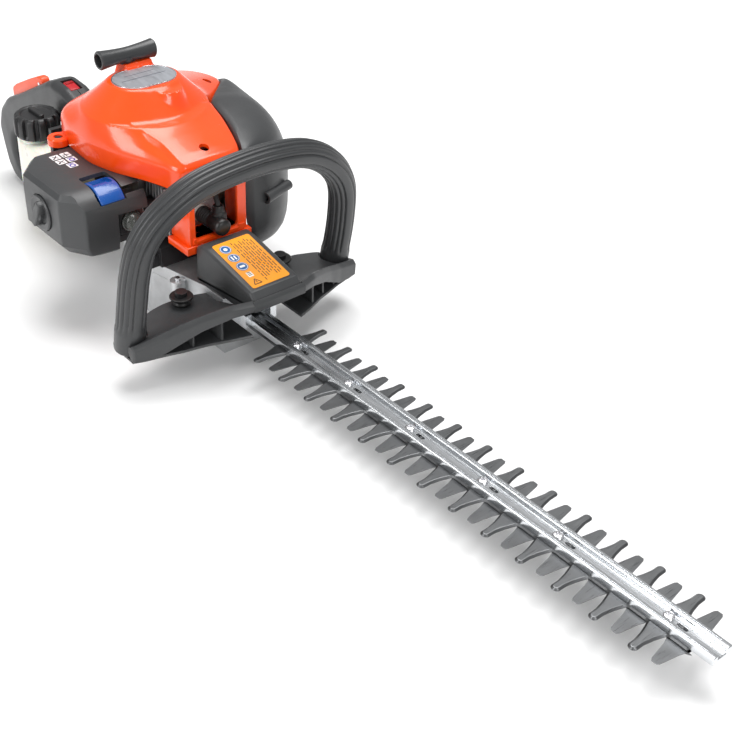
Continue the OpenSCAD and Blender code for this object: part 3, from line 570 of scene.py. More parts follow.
def starter_cover():
    angles = np.linspace(0, TAU, 300, endpoint=False)
    reach = polar_reach(COVER_OUTLINE, AXIS, angles)
    shoulder = 5.0
    rings = []
    for f in np.linspace(0, 1, 66):
        rho = 0.6 + (reach - shoulder - 0.6) * f
        x, y = AXIS[0] + rho * np.cos(angles), AXIS[1] + rho * np.sin(angles)
        rings.append((x, y, cover_height(x, y, reach)))
    for k in range(1, 7):
        a = math.pi / 2 * k / 6
        rho = reach - shoulder * (1 - math.sin(a))
        x, y = AXIS[0] + rho * np.cos(angles), AXIS[1] + rho * np.sin(angles)
        rings.append((x, y, cover_height(x, y, reach) - shoulder * (1 - math.cos(a))))
    x, y, z_wall = rings[-1]
    for f in (0.3, 0.65, 0.97, 1.0):
        pull = 0.0 if f < 0.97 else 0.4 * (f - 0.97) / 0.03
        rings.append((x - pull * np.cos(angles), y - pull * np.sin(angles), z_wall + (143 - z_wall) * f))
    thickness = 2.5
    for x, y, z in rings[-2::-1]:
        d = np.maximum(np.hypot(x - AXIS[0], y - AXIS[1]), 1e-6)
        shrink = np.maximum(d - thickness, 0.3) / d
        rings.append((AXIS[0] + (x - AXIS[0]) * shrink, AXIS[1] + (y - AXIS[1]) * shrink,
                      np.maximum(z - thickness, 143)))
    n = len(angles)
    verts = np.concatenate([np.stack(r, 1) for r in rings])
    faces = [(i * n + k, (i + 1) * n + k, (i + 1) * n + (k + 1) % n, i * n + (k + 1) % n)
             for i in range(len(rings) - 1) for k in range(n)]
    faces += [tuple(range(n)), tuple(reversed(range((len(rings) - 1) * n, len(rings) * n)))]
    lug = lathe([(0.1, 143), (10, 143), (10, 149), (9, 150.2), (4.4, 150.2), (4.4, 147), (0.1, 147)],
                (-244, -67, 0))
    holes = [lathe(rod(4.6, 158, 190), (x, y, 0), segments=28)
             for x, y in ((-106, 2), (-230, 90.5))]
    rope = lathe(rod(4.2, 196, 216), (ROPE_X, 0, 0), segments=28)
    piece("starter_cover_shell", [(verts, faces)], "orange_shell", replaces=["starter_cover"],
          cuts=holes + [rope], angle=40)
    piece("starter_cover_lug", [lug, brick((-253, -62, 143.2), (-235, -54, 149.8), 1.5)], "orange_shell")


# ---------------------------------------------------------------- muffler cover

SEAM = np.array([(-96, 38, 162), (-103, 39.8, 165.5), (-110, 41.5, 168), (-122, 45.5, 171.5), (-139, 50, 175),
                 (-156, 53, 177.5), (-171, 57.5, 178.5), (-188, 71.5, 175), (-205, 87, 171.5), (-221, 102, 168),
                 (-234, 113.5, 163), (-248, 118, 157), (-258, 117, 152)], float)
SHELL_EDGE = np.array([(-93, 44), (-94.5, 62), (-100, 80), (-110, 95), (-124, 107.5), (-141, 117), (-160, 123),
                       (-180, 126.5), (-200, 128), (-222, 128), (-244, 126), (-257, 122), (-262.5, 112)], float)


def muffler_cover():
    seam, edge = catmull(SEAM, 6), catmull(SHELL_EDGE, 6)
    centre = np.array((-170.0, 75.0))
    columns = []
    for (sx, sy, sz), (ex, ey) in zip(seam, edge):
        ey = min(ey, 75 + (ey - 75) * 0.952)
        column = [(sx, sy, 142), (sx, sy, sz - 3), (sx + 0.2 * np.sign(ex - sx), sy + 0.3, sz - 1)]
        for k in range(25):
            u = math.sin(math.pi / 2 * k / 24)
            z = 104 + (sz - 104) * max(0.0, 1 - u ** 2.7) ** (1 / 2.7)
            column.append((sx + (ex - sx) * (0.03 + 0.97 * u), sy + (ey - sy) * (0.03 + 0.97 * u), z))
        inward = unit(centre - (ex, ey))
        for z, d in ((96, 0), (84, 0.3), (76, 1.2), (69, 3.2), (63, 7), (59, 12), (57, 18), (56.6, 24)):
            column.append((ex + inward[0] * d, ey + inward[1] * d, z))
        columns.append(column)
    columns.insert(0, [(-96 - max(0, 100 - z) * 0.03, 38 + max(0, 100 - z) * 0.2, z) for _, _, z in columns[0]])
    n = len(columns[0])
    verts = [p for c in columns for p in c]
    faces = [(i * n + k, i * n + k + 1, (i + 1) * n + k + 1, (i + 1) * n + k)
             for i in range(len(columns) - 1) for k in range(n - 1)]
    ob = raw_object("muffler_cover_shell", [(np.array(verts), faces)], M["dark_shell"])
    finish_mesh(ob.data, 60)
    m = ob.modifiers.new("thick", "SOLIDIFY")
    m.thickness, m.offset = 2.4 * MM, -1
    settle(ob)
    hand_over(ob, 40, replaces=["muffler_cover"])
    start, end = np.array((-90.2, 57, 112.0)), np.array((-99.4, 91, 112.5))
    along = [start + (end - start) * k / 8 for k in range(-1, 9)]
    tube = sweep(along[1:], lambda i: circle(0, 0, 5.6 - 0.12 * i, 28))
    bore = sweep(along[:5], lambda i: circle(0, 0, 3.6, 24))
    piece("muffler_cover_lug", [tube], "dark_shell", cuts=[bore], angle=45)
    slits = [brick((-216 + 14 * k, 124.4, 86), (-208 + 14 * k, 128.9, 89.5), 0.8) for k in range(4)]
    piece("muffler_cover_louvres", slits, "black_plastic")


# ---------------------------------------------------------------- filter cover, knob, lever, labels

KNOB_AT = (-186, 0, 113)


def filter_cover():
    """Faceted box built from plan sections, so each crease can turn with the height."""
    plans = [
        (79.5, [(-228, -44), (-228, -92), (-212, -104), (-158, -104), (-141, -92), (-137, -44)]),
        (84, [(-236, -44), (-236, -98), (-217, -113), (-156, -113), (-136, -101), (-131, -44)]),
        (92, [(-239.5, -44), (-239, -100), (-217.5, -119.6), (-154.5, -119.6), (-134.5, -105), (-130, -44)]),
        (112, [(-240, -44), (-239.5, -100), (-217.5, -120), (-154, -120), (-134, -105), (-129.6, -44)]),
        (128, [(-240, -44), (-239.5, -100), (-217.5, -120), (-154, -120), (-134, -105), (-130, -44)]),
        (137, [(-239, -44), (-238.5, -99.5), (-217, -119.4), (-154, -119.4), (-135, -104.4), (-131, -44)]),
        (141.6, [(-235, -44), (-234.5, -97.5), (-215.5, -116), (-156, -116), (-139.5, -101.5), (-136, -44)]),
        (142.9, [(-228, -44), (-228, -95), (-212, -110), (-159, -110), (-146, -98), (-143, -44)]),
    ]
    rings = [[(x, y, z) for x, y in rounded(p, [2, 5, 5, 5, 5, 2], 4)] for z, p in plans]
    pocket = slab([rounded(rect(-171, -89.4, -120, -62.6), 2.5, 3)], wall(130.5, 150))
    recess = lathe(rod(17.6, -126, -118.6), KNOB_AT, "y", 48)
    notch = slab([rounded(rect(-150, -74, -120, -38), 2, 3)], wall(70, 119))
    back = slab([rect(-236.5, -90, -137, -30)], wall(86, 139))
    sweep_cut = lathe(rod(53, 132, 150), (*AXIS, 0), segments=64)
    hole = lathe(rod(3.3, -122, -80), KNOB_AT, "y", 24)
    brow = [(-156.5 + 26.5 * math.cos(a), 116.4 + 26.5 * math.sin(a))
            for a in (math.pi / 2 * k / 14 for k in range(15))]
    side = slab([[(-130, 70)] + brow + [(-250, 142.9), (-250, 70)]], wall(-130, -30), XZ)
    ob = raw_object("filter_cover_shell", [skin(rings)], M["dark_shell"])
    finish_mesh(ob.data, 24)
    cut(ob, [side], "INTERSECT")
    cut(ob, [back, pocket, recess, notch, sweep_cut, hole])
    hand_over(ob, 24, replaces=["filter_cover"])


def filter_knob():
    """Round knob with a raised bar across it, a keyhole shape seen from the side of the filter."""
    cy = -119.6
    disc = lathe([(0.01, cy + 0.8), (16.3, cy + 0.8), (16.6, cy), (16.6, cy - 1.6), (15.4, cy - 2.6),
                  (11, cy - 2.2), (9.5, cy - 1.0), (0.01, cy - 1.0)], KNOB_AT, "y", 56)
    grip = slab([rounded([(-15.2, -3.4), (-3, -4.6), (3, -4.6), (15.2, -3.4), (15.2, 3.4), (3, 4.6), (-3, 4.6),
                          (-15.2, 3.4)],
                         2.0, 4)], [(1.0, 0), (5.2, 0), (7.0, 0.6), (7.7, 1.6)],
                lambda u, v, w: (u - 186, cy - w, v + 113))
    grip = turned(grip, -62, "Y", (-186, cy, 113))
    boss = lathe([(0.01, cy), (6.2, cy - 0.6), (6.2, cy - 5.0), (5.2, cy - 6.2), (2.2, cy - 6.2), (2.0, cy - 5.0),
                  (0.01, cy - 5.0)],
                 KNOB_AT, "y", 32)
    stem = lathe(rod(3.0, cy + 0.5, -91), KNOB_AT, "y", 20)
    piece("filter_knob_turned", [disc, grip, boss, stem], "dark_shell", "filter_knob", ["filter_knob"])


def choke_lever():
    """Blue paddle that follows the cover's front edge, with a thumb pocket in its upper half."""
    hub, width = np.array((-153.0, 116.0)), 12.0

    def at(r, degrees):
        a = math.radians(degrees)
        return hub[0] + r * math.cos(a), hub[1] + r * math.sin(a)

    steps = [39 + 89 * k / 22 for k in range(23)]
    outer = [at(26.9 - 2.9 * max(0.0, (80 - a) / 41) ** 1.3, a) for a in steps]
    inner = [at(23.4 - 2.6 * max(0.0, (80 - a) / 41) ** 1.3, a) for a in reversed(steps)]
    shell = slab([rounded(outer + inner, 0.9, 3)], fillet(-76 - width, -76 + width, 1.2, 1.2, 3), XZ)
    pocket_outer = [at(34, a) for a in steps if 82 < a < 124]
    pocket_inner = [at(24.3, a) for a in reversed(steps) if 82 < a < 124]
    pocket = slab([pocket_outer + pocket_inner], wall(-76 - 9.4, -76 + 9.4), XZ)
    arm = slab([[at(3, 55), at(24.5, 64), at(24.5, 76), at(3, 88)]], wall(-79, -73), XZ)
    boss = lathe(rect(2.1, -86, 4, -66), (hub[0], 0, hub[1]), "y", 28)
    pin = lathe(rod(2.0, -87, -65), (hub[0], 0, hub[1]), "y", 20)
    piece("choke_paddle", [shell], "blue_plastic", "choke_lever", ["choke_lever"], cuts=[pocket], angle=35)
    piece("choke_paddle_arm", [arm, boss], "blue_plastic", "choke_lever")
    piece("choke_pin", [pin], "bright_screw", "choke_lever")


def tile(cx, cy, w, h, z, r=0.8, thick=0.12):
    """A thin printed patch with rounded corners."""
    outline = rect(cx - w / 2, cy - h / 2, cx + w / 2, cy + h / 2)
    return slab([rounded(outline, r, 3)], wall(z, z + thick))


def icon_label():
    """Five small white squares with plain generic marks: bars, rings and dots."""
    z = 142.95
    squares, marks, blue = [], [], []
    spots = [(-219.5, -84.5), (-219.5, -74), (-208.6, -84.5), (-208.6, -74), (-197.8, -79.5)]
    for i, (x, y) in enumerate(spots):
        squares.append(tile(x, y, 8.8, 8.6, z))
        top = z + 0.14
        if i in (0, 1, 2):
            bar = tile(x, y, 7.2, 0.9, top, 0.3)
            marks += [turned(bar, a + 40 * i, "Z", (x, y, 0)) for a in (35, -40)]
            marks.append(tile(x + 2.2, y - 2.6, 2.0, 1.6, top, 0.3))
        else:
            ring = slab([circle(x + 1, y, 3.0, 24), circle(x + 1, y, 1.7, 20)], wall(top, top + 0.1))
            blue += [ring, tile(x - 3, y, 0.9, 6, top, 0.3)]
    piece("icon_tiles", squares, "icon_film", replaces=["icon_label"])
    piece("icon_marks", marks, "icon_film", paint="print_black")
    piece("icon_marks_blue", blue, "icon_film", paint="print_violet")


def badge():
    """Plain silver badge: an oval film with a rim, a fine line and no wording."""
    z = 208.0
    outline = np.array([(AXIS[0] + 1 + v, u) for u, v in capsule(0, 0, 9.5, 21.5, 18)])
    film = slab([outline], [(z - 0.3, 0), (z + 0.5, 0), (z + 0.75, 0.25)])
    rim = slab([outline, inset(leftward(outline), 1.0)], [(z + 0.7, 0), (z + 1.0, 0.1)])
    line = [tile(AXIS[0] + 1, 0, 0.7, 46, z + 0.74, 0.2), tile(AXIS[0] - 8, 0, 0.5, 30, z + 0.74, 0.2)]
    piece("badge_film", [film], "badge_silver", replaces=["badge_plate"])
    piece("badge_rim", [rim], "badge_silver", paint="bright_screw")
    piece("badge_line", line, "badge_silver", paint="print_grey")


# ---------------------------------------------------------------- handles

LOOP = [(-115.2, 36), (-115.2, 53), (-114.4, 84), (-112.6, 116), (-106, 144), (-88, 166), (-58, 182), (-20, 188),
        (20, 188), (58, 180), (88, 160), (106, 132), (112, 94), (112, 53), (112, 36)]
FOOT_Y = (-116, 112)


def front_handle():
    """Loop handle: lengthwise ribs on the grip, plain boots at both feet."""
    lean = math.tan(math.radians(10))
    path = np.array([(-58 + (z - 33) * lean, y, z) for y, z in catmull(LOOP, 10)])
    length = np.concatenate([[0], np.cumsum(np.linalg.norm(np.diff(path, axis=0), axis=1))])
    sides = 120

    def ring(i):
        s = min(length[i], length[-1] - length[i])
        ribbed = min(1.0, max(0.0, (s - 24) / 3.5))
        boot = 1.0 - min(1.0, max(0.0, (s - 22) / 3.0))
        out = []
        for k in range(sides):
            a = TAU * k / sides
            groove = 0.0
            for c in (-66, -44, -22, 0, 22, 44, 66):
                for side in (0, 180):
                    d = (math.degrees(a) - c - side - 90 + 180) % 360 - 180
                    groove = max(groove, math.exp(-(d / 4.2) ** 2))
            r = 13.1 + 0.7 * boot - 1.25 * groove * ribbed
            out.append((r * math.cos(a), r * math.sin(a)))
        return np.array(out)

    tube = sweep(path, ring, up=(0, 1, 0))
    ends = [slab([circle(path[i][0], path[i][1], 13.8, 60)], fillet(34, 40, 2.5, 0, 3)) for i in (0, -1)]
    holes = [lathe(rod(2.1, -8, 8), (path[0][0] + 14, y, 44), "x", 20) for y in FOOT_Y]
    piece("front_handle_grip", [tube], "grip_plastic", replaces=["front_handle"], cuts=holes, angle=50)
    piece("front_handle_feet", ends, "grip_plastic")


HANDLE_LINE = [(-268, 133), (-330, 153), (-352, 154.4), (-366, 149), (-432, 113), (-462, 98), (-478, 82),
               (-486.4, 60), (-481, 38), (-475, 18), (-462, 3), (-446, 0.4), (-268, 0.4), (-268, 19.5),
               (-428, 19.5), (-444, 22), (-452, 38), (-452, 56), (-441, 66), (-372, 107), (-358, 116), (-340, 112),
               (-284, 84), (-268, 80)]
HANDLE_RADII = [0, 22, 16, 16, 30, 26, 22, 22, 22, 22, 18, 12, 0, 0, 12, 12, 14, 14, 14, 10, 12, 10, 10, 0]


def rear_handle():
    line = leftward(rounded(HANDLE_LINE, HANDLE_RADII, 6))
    nose = slab([[(-284.2, -20), (-284.2, 180), (-240, 180), (-240, -20)]], wall(-20, 20), XZ)
    slot_cut = slab([[(-466, 76), (-384, 118), (-384, 170), (-466, 170)]], wall(-6.2, 6.2), XZ)
    finger = slab([[(-424, 60), (-363, 60), (-363, 128), (-384, 124), (-424, 92)]], wall(-5.3, 5.3), XZ)
    window = slab([rect(-347, 134, -325, 170)], wall(-6.6, 6.6), XZ)
    for side, name in ((-1, "right"), (1, "left")):
        profile = [(0.08 * side, 0.6), (0.6 * side, 0.0), (7.4 * side, 0.0)]
        for a in (math.pi / 2 * k / 7 for k in range(1, 8)):
            profile.append((side * (7.4 + 8.0 * math.sin(a)), 8.0 * (1 - math.cos(a))))
        shell = slab([line], profile, XZ)
        shell[0][np.tile(line[:, 0] > -269, len(profile)), 0] = -268
        piece(f"rear_handle_{name}_shell", [shell], "grip_plastic", replaces=[f"rear_handle_{name}"],
              cuts=[nose, slot_cut, finger, window], angle=38)
    heads = [lathe([(0.01, -14.9), (2.9, -14.9), (3.4, -14.4), (3.4, -12), (0.01, -12)], (x, 0, z), "y", 24)
             for x, z in ((-300, 128), (-352, 134), (-470, 62), (-458, 12), (-310, 10))]
    piece("rear_handle_screws", heads, "black_screw")


def controls():
    lock = slab([rounded([(-391, 142), (-389, 133), (-397, 128), (-454, 93), (-460.5, 101), (-460.5, 109),
                          (-452, 115), (-420, 131.5), (-400, 141)], [4, 2, 2, 3, 3, 5, 8, 20, 6], 5)],
                fillet(-4.9, 4.9, 1.8, 1.8, 4), XZ)
    pin = lathe(rod(2.0, -5.7, 5.7), (-396, 0, 134), "y", 20)
    piece("lockout_lever", [lock], "lockout_plastic", "throttle_lockout", ["throttle_lockout"], angle=30)
    piece("lockout_pin", [pin], "bright_screw", "throttle_lockout")
    trigger = slab([rounded([(-368, 124), (-364, 118), (-370, 107), (-384, 88), (-402, 66), (-410, 64.4),
                             (-408, 75), (-400, 96), (-385, 113)], [3, 3, 6, 14, 4, 2.5, 10, 14, 6], 5)],
                   fillet(-4.4, 4.4, 1.6, 1.6, 4), XZ)
    tpin = lathe(rod(2.0, -5.1, 5.1), (-372, 0, 116), "y", 20)
    piece("trigger_lever", [trigger], "black_plastic", "throttle_trigger", ["throttle_trigger"], angle=30)
    piece("trigger_pin", [tpin], "bright_screw", "throttle_trigger")
    rocker = slab([rounded([(-344, 146.2), (-328, 146.2), (-328, 151.0), (-336, 152.2), (-344, 153.8)],
                           [1, 1, 1.5, 12, 1.5], 4)],
                  fillet(-5.4, 5.4, 0.9, 0.9, 3), XZ)
    ridges = [slab([rounded([(x, 152), (x + 0.9, 152), (x + 0.8, 154.2), (x + 0.1, 154.2)], 0.25, 2)],
                   fillet(-4.2, 4.2, 0.3, 0.3, 2), XZ) for x in (-342.6, -340.9, -339.2)]
    piece("stop_rocker", [rocker] + ridges, "red_plastic", "stop_switch", ["stop_switch"], angle=30)


# ---------------------------------------------------------------- tank and cap

CAP = (-340.0, -39.5)


def fuel_cap():
    """Black cap: a knurled rim with deep square slots, and a stepped top."""
    cx, cy = CAP
    lobes, steps = 12, 16
    rings = []
    for z, r, depth in ((110.2, 18.5, 0), (110.2, 21.6, 0.0), (112, 22.6, 0.6), (114, 22.9, 1), (126, 22.9, 1),
                        (129, 22.3, 0.95), (131, 21.0, 0.6), (132, 19.2, 0.1), (132.2, 17.4, 0), (131.6, 15.9, 0),
                        (130.4, 15.0, 0), (130, 13.5, 0), (130, 6, 0), (130, 0.05, 0)):
        ring = []
        for k in range(lobes * steps):
            tooth = min(1.0, max(0.0, (0.5 - abs((k % steps) / steps - 0.5)) * 9 - 1.35))
            rr = r - (1 - tooth) * 3.8 * depth
            a = TAU * k / (lobes * steps)
            ring.append((cx + rr * math.cos(a), cy + rr * math.sin(a), z))
        rings.append(ring)
    pull = slab([rounded(rect(cx - 13, cy - 2.6, cx + 13, cy + 2.6), 2.4, 4)], fillet(129.6, 134.0, 0, 1.2, 3))
    bore = lathe(rod(17.2, 108, 124), (cx, cy, 0), segments=48)
    piece("fuel_cap_knurled", [skin(rings, top=False)], "black_plastic", "fuel_cap", ["fuel_cap"], cuts=[bore],
          angle=38)
    piece("fuel_cap_pull", [pull], "black_plastic", "fuel_cap")


def fuel_tank():
    """Milky tank: a rounded blow moulding with a saddle for the handle and a filler neck."""
    plan = rounded([(-288.4, -57.6), (-348, -57.6), (-372, -48), (-423, -20), (-423, 29), (-400, 47.6),
                    (-288.4, 47.6)],
                   [7, 14, 20, 14, 14, 18, 7], 6)
    body = slab([plan], fillet(20.2, 106, 5, 6, 4))
    side = slab([rounded([(-430, 20.2), (-284, 20.2), (-284, 105.8), (-366, 105.8), (-376, 62), (-400, 44),
                          (-430, 36)],
                         [3, 2, 3, 10, 14, 14, 4], 6)], wall(-80, 80), XZ)
    ob = raw_object("fuel_tank_moulding", [body], M["tank_plastic"])
    finish_mesh(ob.data, 30)
    cut(ob, [side], "INTERSECT")
    saddle = slab([rect(-384, -16.6, -280, 16.6)], wall(74, 130))
    cut(ob, [saddle])
    m = ob.modifiers.new("bevel", "BEVEL")
    m.width, m.segments, m.angle_limit = 1.8 * MM, 3, math.radians(35)
    m.limit_method = "ANGLE"
    m.use_clamp_overlap = True
    settle(ob)
    hand_over(ob, 34, replaces=["fuel_tank"])
    threads = [(14, 104), (17, 104), (17, 106.5)]
    for k in range(3):
        z = 107.2 + 3.2 * k
        threads += [(16.2, z), (16.9, z + 0.8), (16.9, z + 1.4), (16.2, z + 2.2)]
    threads += [(16.2, 117.6), (15.6, 118), (14, 118)]
    piece("fuel_tank_neck", [lathe(threads, (*CAP, 0), segments=56)], "tank_plastic")


# ---------------------------------------------------------------- guard, gear cover and its label

GUARD = {"t": (27, 45, 62, 68, 80, 98, 112, 123.5),
         "front": (7.5, -0.5, -10, -13.5, -20, -28, -32.5, -36),
         "top": (79, 77, 70.5, 68, 62.5, 55, 50.5, 47.5),
         "low": (69, 65, 57, 54, 46, 35, 32, 31.5),
         "base": (41, 39, 36.5, 35, 32, 30, 29, 29.5),
         "back": (-70, -76.5, -77.5, -77.5, -76, -72, -67, -62.5),
         "plate": (51.8, 51.8, 51.8, 51.8, 51.4, 49.6, 47.6, 45.6),
         "valley": (68, 64, 58, 56, 53, 49.5, 47.4, 44.6)}


def guard_at(t, *columns):
    return [float(np.interp(t, GUARD["t"], GUARD[c])) for c in columns]


def guard_section(t):
    """C-shaped section of a guard wing: tail plate, deep front pocket and the lip above it."""
    f, top, low, base, back, plate, valley = guard_at(t, "front", "top", "low", "base", "back", "plate", "valley")
    v, tail = f - 10, min(44.3, plate - 5)
    return [(back, tail), (-56.4, tail), (-54, base), (f - 5, base), (f - 4, base + 1.3), (f - 5, base + 2.6),
            (-51, base + 2.6), (-51, plate - 3), (v - 1, valley - 3), (f - 6.2, max(low + 1, base + 3)),
            (f - 3.4, low), (f - 0.8, low + 0.8), (f, top - 4.4), (f - 0.7, top - 2.8), (f - 4.0, top - 0.2),
            (f - 5.6, top - 0.5), (v + 2.2, valley + 1.8), (v - 2.2, valley + 0.2), (-51.5, plate + 0.2),
            (back + 1.6, plate), (back, plate - 1.6)]


def hand_guard():
    """Two wings with holes for a screw and a handle foot in each, a bow in front of the gear cover, and inner
    ribs.
    """
    ribs = []
    for side, name, foot_y in ((-1, "right", FOOT_Y[0]), (1, "left", FOOT_Y[1])):
        stations = [26.8, 27.4, *np.linspace(29, 121.5, 38), 123.0]
        rings = [np.array([(x, side * t, z) for x, z in guard_section(t)]) for t in stations]
        middle = rings[-1].mean(0)
        rings.append(middle + (rings[-1] - middle) * 0.86 + (0, side * 0.9, 0))
        cuts = [lathe(rod(15.6, 46, 80), (-55, foot_y, 0), segments=48),
                lathe(rod(3.2, 20, 60), (-55, foot_y, 0), segments=20),
                lathe(rod(3.2, 40, 60), (-66, 55 * side, 0), segments=24)]
        piece(f"hand_guard_{name}_wing", [skin(rings)], "dark_shell", replaces=["hand_guard"] if side < 0 else (),
              cuts=cuts, angle=33)
        for t in (50, 72, 94):
            f, low, base, plate = guard_at(t, "front", "low", "base", "plate")
            ribs.append(slab([[(-51.5, base + 2), (f - 7, base + 2), (f - 7, low + 2), (-51.5, plate - 2)]],
                             fillet(side * t - 1, side * t + 1, 0.3, 0.3, 2), XZ))
    section = [(4.4, 69), (7.2, 69), (7.4, 70), (7.5, 75.4), (6.9, 77), (5.0, 79), (4.4, 78.8)]
    rings = [[(x + (0.5 * (1 - (y / 27.6) ** 2) if x > 5 else 0), y, z) for x, z in section]
             for y in np.linspace(-27.6, 27.6, 25)]
    piece("hand_guard_middle", [skin(rings)], "dark_shell", angle=33)
    piece("hand_guard_ribs", ribs, "dark_shell")


def gear_cover():
    side = rounded([(-84, 58.4), (-84, 92), (-76, 97.4), (-66, 97), (-2, 84), (4, 78), (4, 69), (-5, 66),
                    (-22, 58.4)],
                   [1, 7, 8, 10, 3, 3, 1.5, 5, 1], 6)
    body = slab([side], fillet(-26.4, 26.4, 3.2, 3.2, 5), XZ)
    hollow = slab([[(-81.5, 50), (-81.5, 91), (-75, 94.8), (-67, 94.4), (-3, 81.6), (1.5, 77), (1.5, 50)]],
                  wall(-24, 24), XZ)
    piece("gear_cover_shell", [body], "dark_shell", replaces=["gear_cover"], cuts=[hollow], angle=30)


def on_label(geometry):
    """Put a flat design, drawn with x down the slope and z up from the film, on the tilted label."""
    return shifted(turned(geometry, 11.48, "Y"), (-67.6, 0, 97.4))


def warning_label():
    top = 0.42
    film = slab([rounded(rect(0, -20, 64, 20), 2.2, 5)], wall(0.02, 0.4))
    piece("label_film", [on_label(film)], "warning_amber", replaces=["warning_label"])
    spots = (9.5, 22.3, 35.1)
    upper = wall(top + 0.1, top + 0.16)
    discs = [slab([circle(u, -11.5, 5.5, 40)], wall(top, top + 0.08)) for u in spots]
    light = [slab([circle(u, -11.5, 4.9, 36), circle(u, -11.5, 4.4, 36)], upper) for u in spots]
    light.append(slab([circle(spots[0], -11.5, 1.9, 24)], upper))
    light += [tile(spots[1], v, 5.4, 1.5, top + 0.1, 0.5, 0.06) for v in (-13.0, -10.0)]
    light.append(tile(spots[2], -11.5, 2.6, 5.6, top + 0.1, 1.1, 0.06))
    light.append(tile(47.0, -11.8, 6.4, 5.2, top, 0.5, 0.08))
    dark = [tile(46.2 + d, -11.8, 0.8, 3.6, top + 0.1, 0.3, 0.06) for d in (-1.6, 0.2, 2.0)]
    triangle = [rounded([(60.8, -16.8), (60.8, -7.2), (52.6, -12.0)], 0.9, 3),
                rounded([(59.8, -15.2), (59.8, -8.8), (54.3, -12.0)], 0.4, 3)]
    dark += [slab(triangle, wall(top, top + 0.08)), tile(57.2, -12.0, 3.2, 0.8, top, 0.3, 0.08)]
    for row in range(8):
        u, end, word = 4 + (row * 7 % 5), 60 - (row * 11 % 9), 0
        while u < end - 2:
            length = min(3.2 + (row * 5 + word * 7) % 6, end - u)
            dark.append(tile(u + length / 2, -2.4 + 2.7 * row, length, 0.85, top, 0.3, 0.06))
            u += length + 1.3
            word += 1
    for name, marks, paint in (("discs", discs, "print_blue"), ("marks_light", light, "print_white"),
                               ("marks_dark", dark, "print_brown")):
        piece(f"label_{name}", [on_label(g) for g in marks], "warning_amber", paint=paint)


# ---------------------------------------------------------------- blades, bar and bolts

BOLT_X = (30, 101, 179, 262, 340, 442)
TOOTH_X, PITCH, TEETH = 22, 35, 13


def blade(name, tooth, shift, profile):
    """One reciprocating blade with ground teeth on both sides; tooth is one tooth's outline about its middle."""
    edge = [(-174, 30), (-130, 30), (-130, 11)]
    for i in range(TEETH):
        edge += [(x + TOOTH_X + shift + PITCH * i, y) for x, y in tooth]
    edge.append((467, 11))
    loop = leftward(np.array(edge + [(x, -y) for x, y in reversed(edge)], float))
    through = wall(20, 44)
    cuts = [slab([rounded(rect(-168, -24, -136, 24), 0.5, 2)], through)]
    cuts += [slab([capsule(x, 0, 9.1, 2.8, 8)], through) for x in BOLT_X]
    piece(f"{name}_ground", [slab([loop], profile)], "blade_steel", name, [name], cuts=cuts, angle=12)


def mirrored(flank, tip=()):
    return flank + list(tip) + [(-x, y) for x, y in reversed(flank)]


def blades():
    angles = [math.radians(165 - 150 * k / 8) for k in range(9)]
    tip = [(3.9 * math.cos(a), 36 + 3.9 * math.sin(a)) for a in angles]
    blade("upper_blade", mirrored([(-11, 11), (-8.6, 11.9), (-7.2, 16), (-5.4, 22), (-3.9, 30)], tip), 0,
          [(31.1, 0), (31.55, 0), (32.9, 1.5), (33.0, 1.9)])
    blade("lower_blade", mirrored([(-12, 11), (-8.6, 12), (-6.6, 18), (-3.6, 34), (-2.2, 36)]), PITCH / 2,
          [(29.0, 1.9), (29.1, 1.5), (30.45, 0), (30.9, 0)])


def cutting_bar():
    section = rounded([(-10.5, 33.1), (10.5, 33.1), (10.5, 39.5), (5.0, 39.5), (5.0, 35.5), (-5.0, 35.5),
                       (-5.0, 39.5), (-10.5, 39.5)],
                      [0.4, 0.4, 1.0, 0.8, 0.8, 0.8, 0.8, 1.0], 3)
    body = slab([section], [(-60, 0), (486.4, 0), (487, 0.5)], YZ)
    cuts = [slab([capsule(x + 12, 0, 3, 1.6, 8)], wall(20, 50)) for x in BOLT_X]
    cuts += [lathe(rod(2.57, 22, 47), (x, 0, 0), segments=22) for x in BOLT_X]
    cuts += [slab([rect(y - 0.35, 38.9, y + 0.35, 41)], wall(-20, 480), YZ) for y in (-7.75, 7.75)]
    piece("guide_bar_extrusion", [body], "bar_alloy", replaces=["guide_bar"], cuts=cuts, angle=25)
    heads, recess = [], []
    head = [(0.01, 24.6), (2.48, 24.6), (2.48, 35.5), (4.3, 35.5), (4.4, 36), (4.3, 37.2), (3.6, 38.1),
            (2.2, 38.5), (0.01, 38.5)]
    for x in BOLT_X:
        heads.append(lathe(head, (x, 0, 0), segments=36))
        bar = shifted(brick((-2.4, -0.62, 36.9), (2.4, 0.62, 40), 0.15), (x, 0, 0))
        recess += [turned(bar, a, "Z", (x, 0, 0)) for a in (20 + x, 110 + x)]
    piece("blade_bolts_turned", heads, "bright_screw", replaces=["blade_bolts"], cuts=recess, angle=30)


# ---------------------------------------------------------------- shroud, plug boot, grip, bulb, mounts

